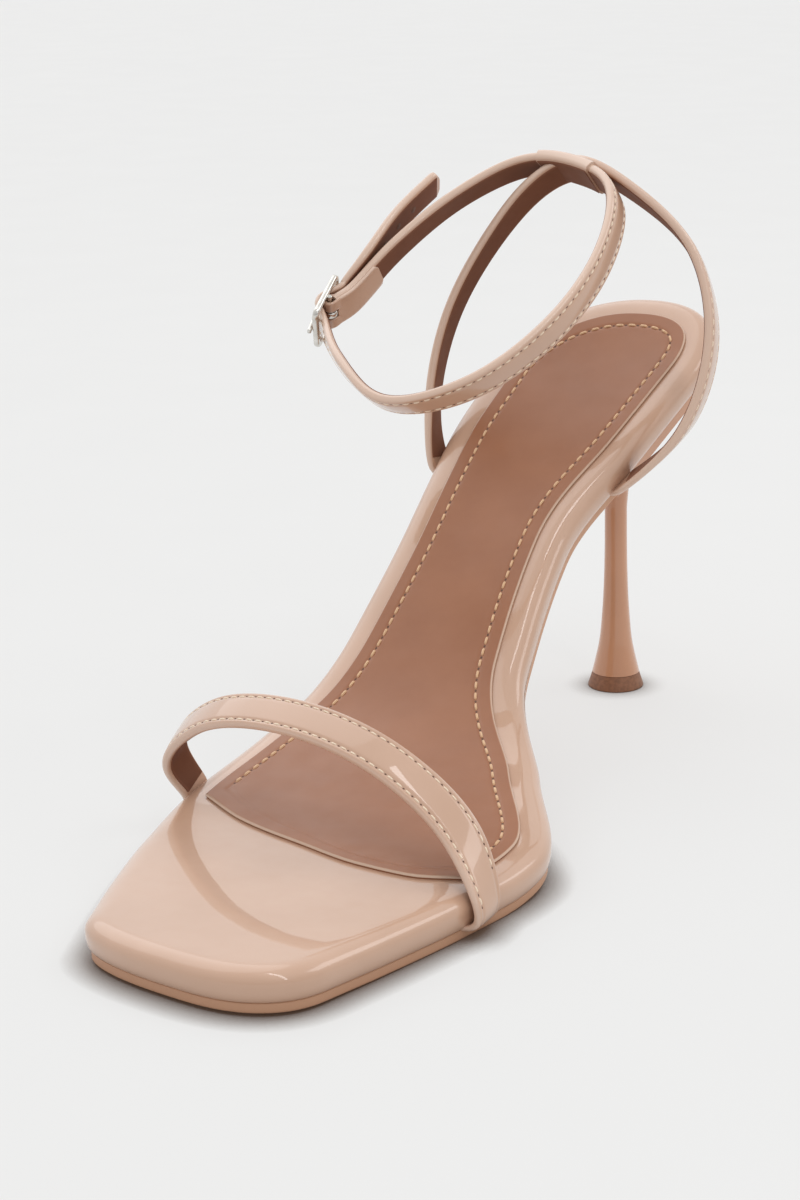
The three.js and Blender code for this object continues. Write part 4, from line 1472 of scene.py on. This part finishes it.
@dataclass
class HeelUnit:
    """Covered heel and its top piece."""

    last: Last
    inset: float = 1.2
    tip_width: float = 13.3
    top_piece_height: float = 3.6
    tip_gap: float = 0.05
    cup_wall: float = 3.0
    stem_height: Row = (0, .043, .090, .140, .200, .300, .420, .530)
    stem_width: Row = (1, .857, .714, .590, .515, .440, .405, .400)
    cup_spread: Row = (1, .96, .84, .66, .46, .27, .12, .03, 0)
    cup_height: Row = (.785, .780, .760, .740, .715, .680, .640, .590, .530)

    def radius(self, height: Array) -> Array:
        """Radius of the stem at a share of the heel's height."""
        return self.tip_width / 2 * table_curve(self.stem_height, self.stem_width)(height)

    def heel(self) -> bpy.types.Object:
        """Heel from the seat down to the tip.

        Rings that start as the outline of the seat and are drawn in to the round stem: each is
        a blend of the rim's ring and the stem's circle at its height.

        Returns:
            The piece.
        """
        layer = Layer(self.last, margin=self.inset, points=90, columns=30,
                      front=lambda across: self.last.breast_at + 0 * across)
        depth = -self.last.footbed_thickness - GAP
        plan = layer.rim(layer.rows(0.0))
        seat = self.last.bottom(plan, depth)
        wall = self.last.bottom(plan, depth - self.cup_wall)
        back = seat[:, 1:2] / self.last.foot_length - self.last.breast_at
        back = np.clip(back / (1 - self.last.breast_at), 0, 1)
        rim = wall * (1 - back) + (seat - [0, 0, self.cup_wall]) * back
        middle = HEEL_TIP[:2]
        away = unit(seat[:, :2] - middle)
        place = np.linspace(0, len(self.cup_spread) - 1, 65)
        steps = np.arange(len(self.cup_spread))
        spread = blur(table_curve(steps, self.cup_spread)(place), 2.0)
        height = blur(table_curve(steps, self.cup_height)(place), 2.0)
        low = (self.top_piece_height + self.tip_gap) / self.last.heel_height
        stem = np.linspace(self.cup_height[-1], low, 60)[1:]
        spread, height = np.append(spread, 0 * stem), np.append(height, stem)
        circle = np.empty((len(height), len(seat), 3))
        circle[..., :2] = middle + away[None] * self.radius(height)[:, None, None]
        circle[..., 2] = height[:, None] * self.last.heel_height
        rings = circle + (rim[None] - circle) * spread[:, None, None]
        top = self.last.bottom(layer.rows(0.0), depth)
        skin = np.concatenate([seat[None], rings])
        return welded("heel_cover", [skin, top, closing(rings[-1])], crease=50)

    def top_piece(self) -> bpy.types.Object:
        """Top piece: a turned disc with rounded edges.

        Returns:
            The piece.
        """
        high = self.top_piece_height
        wide = self.tip_width / 2
        narrow = float(self.radius(np.array(high / self.last.heel_height)))
        profile = np.array([[0, high], [narrow - 0.3, high], [narrow - 0.08, high - 0.06],
                            [narrow, high - 0.25], [(wide + narrow) / 2, high / 2 + 0.05],
                            [wide - 0.02, 0.45], [wide, 0.25], [wide - 0.1, 0.08],
                            [wide - 0.3, 0.0], [wide - 2.0, 0.0], [0, 0]])
        return welded("top_piece_disc", [lathe(profile, HEEL_TIP, 72)], crease=30)

    def build(self, shop: Workshop) -> None:
        """Makes and dresses the pieces."""
        # The heel cover takes the darker patent: painted shade.
        shop.dress(self.heel(), SHADED_HEEL_PATENT, Slot.HEEL, "heel")
        shop.dress(self.top_piece(), Rubber(), Slot.RUBBER, "top_piece")


@dataclass
class ToeStrap:
    """Strap over the toes, both ends under the footbed."""

    last: Last
    width: float = 8.8
    thickness: float = 2.0
    arch: float = 24.0
    across: Row = (-0.516, -0.363, -0.114, 0.158, 0.377)
    at: Row = (0.333, 0.309, 0.291, 0.273, 0.253)
    rise: Row = (0.34, 0.83, 0.985, 0.825, 0.39)
    lateral_at: float = 0.348
    medial_at: float = 0.227
    lined_from: float = 9.0
    sewn_from: float = 8.0

    def ribbon(self) -> Ribbon:
        """Path from under the lateral edge, over the toes, to under the medial edge.

        Returns:
            The path.
        """
        last = self.last
        arch = np.stack([np.array(self.across) * last.ball_width,
                         np.array(self.at) * last.foot_length,
                         last.forefoot + np.array(self.rise) * self.arch], axis=1)
        rows = np.concatenate([
            tuck(last, self.lateral_at, -1, (0, 1, 0))[::-1],
            stations(arch, np.array([0, 1, 0.54]), self.thickness, 1.0),
            tuck(last, self.medial_at, 1, (0, 1, 0)),
        ])
        return Ribbon.through(rows, 1, soft=2.5)

    def build(self, shop: Workshop) -> None:
        """Makes and dresses the strap, its lining and its stitches.

        Args:
            shop: what makes the finishes and joins a piece to the frame.
        """
        node = "toe_strap"
        cut, ribbon = StrapCut(width=self.width), self.ribbon()
        total = ribbon.length[-1]
        inner = ribbon.part(self.lined_from, total - self.lined_from,
                            LINING_SUNK - self.thickness / 2, LINING_THICKNESS)
        facing = lining_cut(self.width).skin(inner)
        shop.dress(welded("toe_strap_patent", *cut.skin(ribbon)), PATENT, Slot.PATENT, node)
        shop.dress(welded("toe_strap_lining", *facing), LINING_PAINTED_SHADE, Slot.SOCK, node)
        sew(shop, "toe_strap", cut, ribbon, (self.sewn_from, total - self.sewn_from), node)


@dataclass
class Buckle:
    """Centre-bar buckle: frame, middle bar and tongue."""

    last: Last
    centre_shares: Triple = (-0.572, 0.702, 0.586)
    along_way: Triple = (-0.04, 0.84, 0.54)
    up_way: Triple = (0.26, -0.48, 0.84)
    length: float = 14.5
    window: float = 8.6
    bar: float = 1.5
    thickness: float = 1.4
    corner: float = 2.0
    pivot_width: float = 1.2
    pivot_drop: float = 1.0
    tongue_width: float = 1.6
    tongue_thickness: float = 1.0
    rear_turn: float = 27.0

    @cached_property
    def basis(self) -> Array:
        """Rows: along the strap, up its width, and out from the ankle.

        Returns:
            Three directions of length one.
        """
        along = unit(np.array(self.along_way))
        up = np.array(self.up_way)
        up = unit(up - along * (up @ along))
        return np.stack([along, up, np.cross(up, along)])

    def place(self, points: Array) -> Array:
        """Points in space from distances along, up and out at the buckle."""
        return self.last.route(np.array(self.centre_shares)) + points @ self.basis

    def behind(self, points: Array) -> Array:
        """Distances along and out, turned to the line that the strap leaves on.

        Args:
            points: rows of distance along and out.

        Returns:
            The same rows after the turn.
        """
        turn = math.radians(self.rear_turn)
        along, out = points[..., 0], points[..., 1]
        return np.stack([along * math.cos(turn) + out * math.sin(turn),
                         out * math.cos(turn) - along * math.sin(turn) - self.pivot_drop],
                        axis=-1)

    def station(self, spots: Array, thickness: float) -> Array:
        """Firm stations of a strap at distances along and out."""
        points = np.stack([spots[:, 0], 0 * spots[:, 0], spots[:, 1]], axis=1)
        return stations(self.place(points), self.basis[1], thickness, 0.0)

    @property
    def bar_offset(self) -> float:
        """Distance from the middle to the middle of each end bar."""
        return self.length / 2 - self.bar / 2

    def frame(self) -> list[Array]:
        """Frame: a full oval section carried round a rectangle with round corners.

        Returns:
            The grids of the frame and of the middle bar.
        """
        radius = self.corner - self.bar / 2
        x, y = self.bar_offset - radius, (self.window + self.bar) / 2 - radius
        middles = np.array([[x, y], [-x, y], [-x, -y], [x, -y]])
        turn = np.linspace(0, np.pi / 2, 10)[None, :] + np.arange(4)[:, None] * np.pi / 2
        away = np.stack([np.cos(turn), np.sin(turn)], axis=-1)
        path = (middles[:, None] + radius * away).reshape(-1, 2)
        away = away.reshape(-1, 2)
        path, away = np.vstack([path, path[:1]]), np.vstack([away, away[:1]])
        ring = oval(20, 2.8) * [self.bar / 2, self.thickness / 2]
        flat = path[:, None] + ring[None, :, :1] * away[:, None]
        grid = np.concatenate([flat, ring[None, :, 1:] + 0 * flat[..., :1]], axis=2)
        reach = (self.window + self.bar) / 2
        t = np.array([-1, -1, -0.98, -0.9, 0.9, 0.98, 1, 1])
        size = np.array([0, 0.75, 0.95, 1, 1, 0.95, 0.75, 0]) * self.pivot_width / 2
        across, out = (size[:, None] * column for column in oval(16).T)
        bar = np.stack([across, (t * reach)[:, None] + 0 * across, out - self.pivot_drop],
                       axis=-1)
        return [self.place(grid), self.place(bar)]

    def tongue(self) -> list[Array]:
        """Tongue: an eye round the middle bar and a bent pin that rests over the front bar.

        Returns:
            The grids of the eye, the pin and its two ends.
        """
        hole = self.pivot_width / 2 + GAP
        eye = hole + 0.8 * self.tongue_thickness
        loop = oval(16, 3.0)
        radius = (hole + eye) / 2 + loop[None, :, 0] * (eye - hole) / 2
        across, out = (radius * column[:, None] for column in oval(32).T)
        ring = np.stack([across, loop[None, :, 1] * self.tongue_width / 2 + 0 * across,
                         out - self.pivot_drop], axis=-1)
        rest = self.thickness / 2 + GAP + self.tongue_thickness / 2
        tip = -self.bar_offset - self.bar / 2 - 0.5
        path = spline(np.array([[0.9, -0.1], [0.0, 0.35], [-1.6, 1.0], [-3.4, rest],
                                [-5.5, rest], [tip, rest - 0.15]]), 12, 0.5)
        along = unit(np.gradient(path, axis=0))
        left = arc_lengths(path)[-1] - arc_lengths(path)
        full = np.sqrt(1 - np.clip(1 - left / 0.6, 0, 1) ** 2)[:, None]
        taper = (0.72 + 0.28 * np.clip(left / 7, 0, 1))[:, None] * full
        wide = loop[None, :, 1] * self.tongue_width / 2 * taper
        deep = loop[None, :, 0] * self.tongue_thickness / 2 * (0.15 + 0.85 * full)
        pin = np.stack([path[:, :1] - along[:, 1:] * deep, wide,
                        path[:, 1:] + along[:, :1] * deep], axis=-1)
        return [self.place(part) for part in (ring, pin, closing(pin[0]), closing(pin[-1]))]

    def build(self, shop: Workshop) -> None:
        """Makes and dresses the pieces."""
        for node, grids in (("buckle_frame", self.frame()), ("buckle_tongue", self.tongue())):
            shop.dress(welded(f"{node}_metal", grids), SilverPlate(), Slot.METAL, node)


@dataclass
class AnkleUpper:
    """Ankle strap, heel strap and the sleeve where they cross."""

    last: Last
    buckle: Buckle
    width: float = 8.0
    thickness: float = 2.0
    chape_thickness: float = 0.8
    billet_thickness: float = 1.4
    chape_length: float = 14.0
    seam_overlap: float = 0.25
    sleeve_lateral: float = 9.5
    sleeve_medial: float = 7.5
    sleeve_wall: float = 0.5
    slot: float = 2.2
    rear: tuple[Row, ...] = (
        (-0.454, 0.774, 0.762, 0.23, -0.72, 0.65), (-0.327, 0.834, 0.921, 0.26, -0.76, 0.58),
        (-0.169, 0.869, 1.019, 0.00, -0.80, 0.56), (-0.002, 0.854, 1.017, -0.20, -0.68, 0.71))
    front: tuple[Row, ...] = (
        (0.148, 0.815, 0.962, -0.16, -0.62, 0.77), (0.198, 0.741, 0.791, -0.04, -0.60, 0.80),
        (0.145, 0.661, 0.603, 0.07, -0.63, 0.78), (-0.006, 0.598, 0.446, 0.10, -0.76, 0.63),
        (-0.211, 0.578, 0.382, -0.10, -0.86, 0.50), (-0.401, 0.619, 0.458, -0.15, -0.56, 0.81))
    tail: tuple[Row, ...] = (
        (-0.508, 0.756, 0.739, 0.26, -0.62, 0.74), (-0.478, 0.800, 0.851, 0.23, -0.70, 0.66),
        (-0.429, 0.854, 0.955, 0.23, -0.72, 0.64))
    quarter: tuple[Row, ...] = (
        (-0.392, 0.806, 0.220, 0.16, -0.93, 0.20), (-0.370, 0.834, 0.501, 0.08, -0.96, 0.27),
        (-0.273, 0.856, 0.752, -0.08, -0.95, 0.28), (-0.130, 0.866, 0.957, -0.20, -0.84, 0.48),
        (0.002, 0.861, 1.025, -0.15, -0.70, 0.70), (0.172, 0.853, 0.945, 0.23, -0.84, 0.48),
        (0.335, 0.852, 0.772, 0.28, -0.92, 0.27), (0.413, 0.830, 0.507, 0.13, -0.96, 0.22),
        (0.370, 0.802, 0.225, 0.08, -0.97, 0.00))
    lateral_at: float = 0.778
    medial_at: float = 0.778
    sewn_from: float = 7.0
    hole_places: Row = (10.0, 16.0, 22.0, 28.0)
    hole_radius: float = 0.85

    def rows(self, table: tuple[Row, ...]) -> Array:
        """Stations from a table of shares and leans."""
        numbers = np.array(table)
        return stations(self.last.route(numbers[:, :3]), numbers[:, 3:], self.thickness, 1.0)

    @property
    def chape_shift(self) -> float:
        """How far the chape and the fold lie inwards of the strap's middle line."""
        return (self.thickness + self.chape_thickness) / 2 - self.seam_overlap

    @property
    def chape_radius(self) -> float:
        """Radius of the fold's middle line round the bar."""
        return (self.buckle.pivot_width + self.chape_thickness) / 2 + GAP

    @property
    def rear_start(self) -> float:
        """Where the strap's full thickness starts behind the middle bar."""
        return self.buckle.pivot_width / 2 + 2 * GAP

    def ankle_ribbon(self) -> Ribbon:
        """The whole ankle strap, from the fold at the buckle round the ankle to its tail.

        At the buckle it passes under the front bar, over the fold and under the rear bar: the
        stations lie on an arc round the middle bar and on short arcs round the end bars.

        Returns:
            The path.
        """
        buckle = self.buckle
        offset, drop = buckle.bar_offset, buckle.pivot_drop
        start = np.array([[self.rear_start, 0.0], [self.rear_start + 1, 0.0], [offset, 0.0]])
        under = math.hypot(buckle.bar, buckle.thickness) / 2 + GAP + self.billet_thickness / 2
        over = self.chape_radius + (self.chape_thickness + self.billet_thickness) / 2 + GAP
        reach = math.hypot(offset, drop)
        slope = math.asin((under + over) / reach) - math.asin(drop / reach)
        angle = np.array([-1, -0.35, 0.35, 1]) * slope
        top = np.stack([over * np.sin(angle), over * np.cos(angle) - drop], axis=1)
        side, share = np.array([-1, 1, 1]), np.array([1, 0.6, -0.3]) * slope
        low = np.stack([side * (offset - under * np.sin(share)), -under * np.cos(share)], axis=1)
        spots = np.concatenate([low[:1], top, low[1:]])
        return Ribbon.through(np.concatenate([
            buckle.station(buckle.behind(start), self.thickness),
            self.rows(self.rear), self.rows(self.front),
            buckle.station(spots, self.billet_thickness), self.rows(self.tail)]), -1)

    def heel_ribbon(self) -> Ribbon:
        """Heel strap from under the lateral edge over the back to under the medial edge."""
        lean = (0, -0.9, -0.3)
        return Ribbon.through(np.concatenate([
            tuck(self.last, self.lateral_at, -1, lean)[:0:-1], self.rows(self.quarter),
            tuck(self.last, self.medial_at, 1, lean)[1:]]), -1)

    def sleeve_ribbon(self, ankle: Ribbon) -> Ribbon:
        """Sleeve at the back: the stretch of the ankle strap where the heel strap crosses it.

        Args:
            ankle: the ankle strap's path.

        Returns:
            The sleeve's path.
        """
        back = self.rows(self.rear)[-1, :3]
        middle = ankle.length[np.argmin(np.linalg.norm(ankle.centre - back, axis=1))]
        sleeve = ankle.part(middle - self.sleeve_lateral, middle + self.sleeve_medial)
        sleeve.thickness = sleeve.thickness + 2 * self.sleeve_wall
        return sleeve

    def fold_bands(self) -> list[Array]:
        """Fold round the middle bar: two narrow bands with the tongue's slot between them.

        Returns:
            The grids of both bands.
        """
        join = self.rear_start + self.chape_thickness
        angle = np.radians(np.linspace(-95, 95, 9))
        spots = np.concatenate([[[join, -self.chape_shift]], np.stack(
            [-np.cos(angle), np.sin(angle)], axis=1) * self.chape_radius, [[join, 0.27]]])
        ribbon = Ribbon.through(self.buckle.station(self.buckle.behind(spots),
                                                    self.chape_thickness), -1, step=0.25)
        band = (self.width - self.slot) / 2
        cut = StrapCut(width=band, edge=0.35, crown=0, groove=0)
        grids = []
        for side in (-1, 1):
            offset = side * (self.slot + band) / 2
            moved = Ribbon(ribbon.centre + offset * ribbon.across, ribbon.across,
                           ribbon.outward, ribbon.thickness, ribbon.length)
            grids += cut.skin(moved)[0]
        return grids

    def holes(self, ribbon: Ribbon, places: Array) -> Array:
        """Punched holes through the tail: short rods, flush with both faces, whose dark colour
        is painted shade in place of an open hole.

        Args:
            ribbon: the strap's path.
            places: lengths of the holes' middles.

        Returns:
            One grid of points for each hole.
        """
        stretch = ribbon.part(0, ribbon.length[-1])
        spots = tuple(read_rows(rows, stretch.length, places)
                      for rows in (stretch.centre, stretch.across, stretch.outward))
        size = np.array([0, 0.9, 1, 1, 0.9, 0])[:, None]
        high = np.array([-1, -1, -0.95, 0.95, 1, 1])[:, None] * (self.thickness / 2 + 0.2)
        across, along = (size * column for column in self.hole_radius * oval(16).T)
        return strewn(spots, across, along, high + 0 * across)

    def lining(self, ribbon: Ribbon, start: float, end: float) -> Skin:
        """Lining on the ankle's side of a strap between two lengths.

        Args:
            ribbon: the strap's path.
            start: length at which it starts.
            end: length at which it ends.

        Returns:
            The grids and their marks.
        """
        inner = ribbon.part(start, end)
        shift = LINING_SUNK - inner.thickness / 2
        inner.centre = inner.centre + shift[:, None] * inner.outward
        inner.thickness = np.full_like(inner.thickness, LINING_THICKNESS)
        return lining_cut(self.width).skin(inner)

    def build(self, shop: Workshop) -> None:
        """Makes and dresses the pieces.

        Args:
            shop: what makes the finishes and joins a piece to the frame.
        """
        node = "ankle_upper"
        ankle, heel = self.ankle_ribbon(), self.heel_ribbon()
        sleeve = self.sleeve_ribbon(ankle)
        total, end = ankle.length[-1], heel.length[-1]
        cut, flat = StrapCut(width=self.width, end_round=1.6), StrapCut(width=self.width)
        chape = ankle.part(0, self.chape_length, -self.chape_shift, self.chape_thickness)
        chape_cut = StrapCut(width=self.width, edge=0.35, crown=0, groove=0, end_round=1.2)
        loop = StrapCut(width=self.width + 2 * self.sleeve_wall, edge=1.1, crown=0.1,
                        stitch_inset=1.6, groove=0)
        inner = sleeve.part(0.3, sleeve.length[-1] - 0.3,
                            -(self.thickness / 2 + self.sleeve_wall), 0.3)
        facing = StrapCut(width=self.width - 0.6, edge=0.12, crown=0, groove=0)
        ankle_lined = self.lining(ankle, self.chape_length - 0.5, total - 1.2)
        heel_lined = self.lining(heel, self.sewn_from, end - self.sewn_from)
        for name, skin, finish, slot in (
                ("ankle_strap_patent", cut.skin(ankle), PATENT, Slot.PATENT),
                ("heel_strap_patent", flat.skin(heel), PATENT, Slot.PATENT),
                ("chape_patent", chape_cut.skin(chape), PATENT, Slot.PATENT),
                ("buckle_fold_patent", (self.fold_bands(),), PATENT, Slot.PATENT),
                ("ankle_strap_lining", ankle_lined, LINING_PAINTED_SHADE, Slot.SOCK),
                ("heel_strap_lining", heel_lined, LINING_PAINTED_SHADE, Slot.SOCK),
                ("sleeve_patent", loop.skin(sleeve), PATENT, Slot.PATENT),
                ("sleeve_lining", facing.skin(inner), LINING_PAINTED_SHADE, Slot.SOCK)):
            shop.dress(welded(name, *skin), finish, slot, node)
        sew(shop, "ankle_strap", cut, ankle, (3.0, total - 2.0), node)
        sew(shop, "heel_strap", flat, heel, (self.sewn_from, end - self.sewn_from), node)
        holes = self.holes(ankle, total - np.array(self.hole_places))
        # Dark plugs for the holes: painted shade.
        shop.dress(welded("strap_holes", [holes]), PINHOLE_PAINTED_SHADE, Slot.PATENT, node)


# The studio


def stand(name: str, data: bpy.types.ID, axes: Array, place: Triple) -> bpy.types.Object:
    """Camera or lamp in the scene, turned to its own right, up and back.

    Args:
        name: its name.
        data: what the camera or lamp is.
        axes: rows to its right, up and back.
        place: where it stands, in metres.

    Returns:
        The object.
    """
    thing = bpy.data.objects.new(name, data)
    bpy.context.scene.collection.objects.link(thing)
    matrix = np.eye(4)
    matrix[:3, :3] = axes.T
    matrix[:3, 3] = place
    thing.matrix_world = Matrix(matrix.tolist())
    return thing


class LampKind(Enum):
    """Kinds of light in the studio."""

    SUN = "SUN"
    AREA = "AREA"


@dataclass(frozen=True)
class Lamp:
    """Light that looks at the shoe.

    A sun's size is its width in radians; an area's sides are its size and its depth in metres.
    """

    name: str
    kind: LampKind
    place: Triple
    energy: float
    size: float
    depth: float = 0.0
    aim: Triple = (-0.02, -0.08, 0.05)

    def build(self) -> None:
        """Sets the lamp up."""
        data = bpy.data.lights.new(self.name, self.kind.value)
        data.energy = self.energy
        if self.kind is LampKind.SUN:
            data.angle = self.size
        else:
            data.shape = "RECTANGLE"
            data.size, data.size_y = self.size, self.depth
        back = unit(np.array(self.place) - np.array(self.aim))
        right = unit(np.cross([0.0, 0.0, 1.0], back))
        stand(self.name, data, np.stack([right, np.cross(back, right), back]), self.place)


@dataclass
class Studio:
    """Camera, floor and soft light."""

    camera_place: Triple = (0.23099, -0.54849, 0.19903)
    turn: float = 27.846
    tilt: float = 16.566
    roll: float = -1.373
    lens: float = 77.09
    floor_reach: float = 16000.0
    bright_side: Triple = (-0.45, 0.55, 0.70)
    sky_span: Pair = (-0.6, 0.8)
    sky_levels: Pair = (0.57, 1.0)
    lamps: tuple[Lamp, ...] = (
        Lamp("soft_sun", LampKind.SUN, (-1.6, 0.8, 2.2), 0.45, 0.9),
        Lamp("strip_box", LampKind.AREA, (0.40, -0.38, 0.93), 1.4, 0.07, 1.2),
        Lamp("side_panel", LampKind.AREA, (0.6, 0.35, 0.8), 1.4, 0.6, 0.35))

    def basis(self) -> Array:
        """Rows: to the camera's right, up and back.

        Returns:
            Three directions of length one.
        """
        a, e, c = np.radians([self.turn, self.tilt, self.roll])
        back = np.array([np.sin(a) * np.cos(e), -np.cos(a) * np.cos(e), np.sin(e)])
        right = np.array([np.cos(a), np.sin(a), 0.0])
        up = np.cross(back, right)
        return np.array([np.cos(c) * right + np.sin(c) * up,
                         -np.sin(c) * right + np.cos(c) * up, back])

    def camera(self) -> None:
        """Camera at the photograph's angle."""
        data = bpy.data.cameras.new("camera")
        data.lens = self.lens
        data.sensor_fit = "VERTICAL"
        data.sensor_height = 36
        bpy.context.scene.camera = stand("camera", data, self.basis(), self.camera_place)

    def floor(self) -> None:
        """Wide pale floor."""
        line = np.linspace(-self.floor_reach, self.floor_reach, 9)
        x, y = np.meshgrid(line, line, indexing="ij")
        ground = welded("floor", [np.stack([x, y, 0 * x], axis=-1)])
        ground.data.materials.append(StudioFloor().material())

    def sky(self) -> None:
        """White surroundings, brightest behind the shoe's lateral side."""
        world = bpy.data.worlds.new("studio")
        bpy.context.scene.world = world
        world.use_nodes = True
        tree = world.node_tree
        sky = tree.nodes["Background"]
        sky.inputs["Color"].default_value = (1.0, 1.0, 1.0, 1)
        way = tree.nodes.new("ShaderNodeTexCoord")
        facing = tree.nodes.new("ShaderNodeVectorMath")
        facing.operation = "DOT_PRODUCT"
        facing.inputs[1].default_value = unit(np.array(self.bright_side))
        level = map_range(tree.nodes, self.sky_span, self.sky_levels)
        tree.links.new(way.outputs["Generated"], facing.inputs[0])
        tree.links.new(facing.outputs["Value"], level.inputs["Value"])
        tree.links.new(level.outputs["Result"], sky.inputs["Strength"])

    def build(self) -> None:
        """Sets the whole studio up."""
        self.camera()
        self.floor()
        self.sky()
        for lamp in self.lamps:
            lamp.build()
        bpy.context.scene.view_settings.view_transform = "Standard"


def main() -> None:
    """Builds the sandal and the studio."""
    logging.basicConfig(level=logging.INFO, format="%(name)s: %(message)s")
    shop, last = Workshop(), Last()
    Studio().build()
    SoleUnit(last).build(shop)
    HeelUnit(last).build(shop)
    ToeStrap(last).build(shop)
    buckle = Buckle(last)
    buckle.build(shop)
    AnkleUpper(last, buckle).build(shop)
    bpy.context.view_layer.update()


if __name__ == "__main__":
    main()
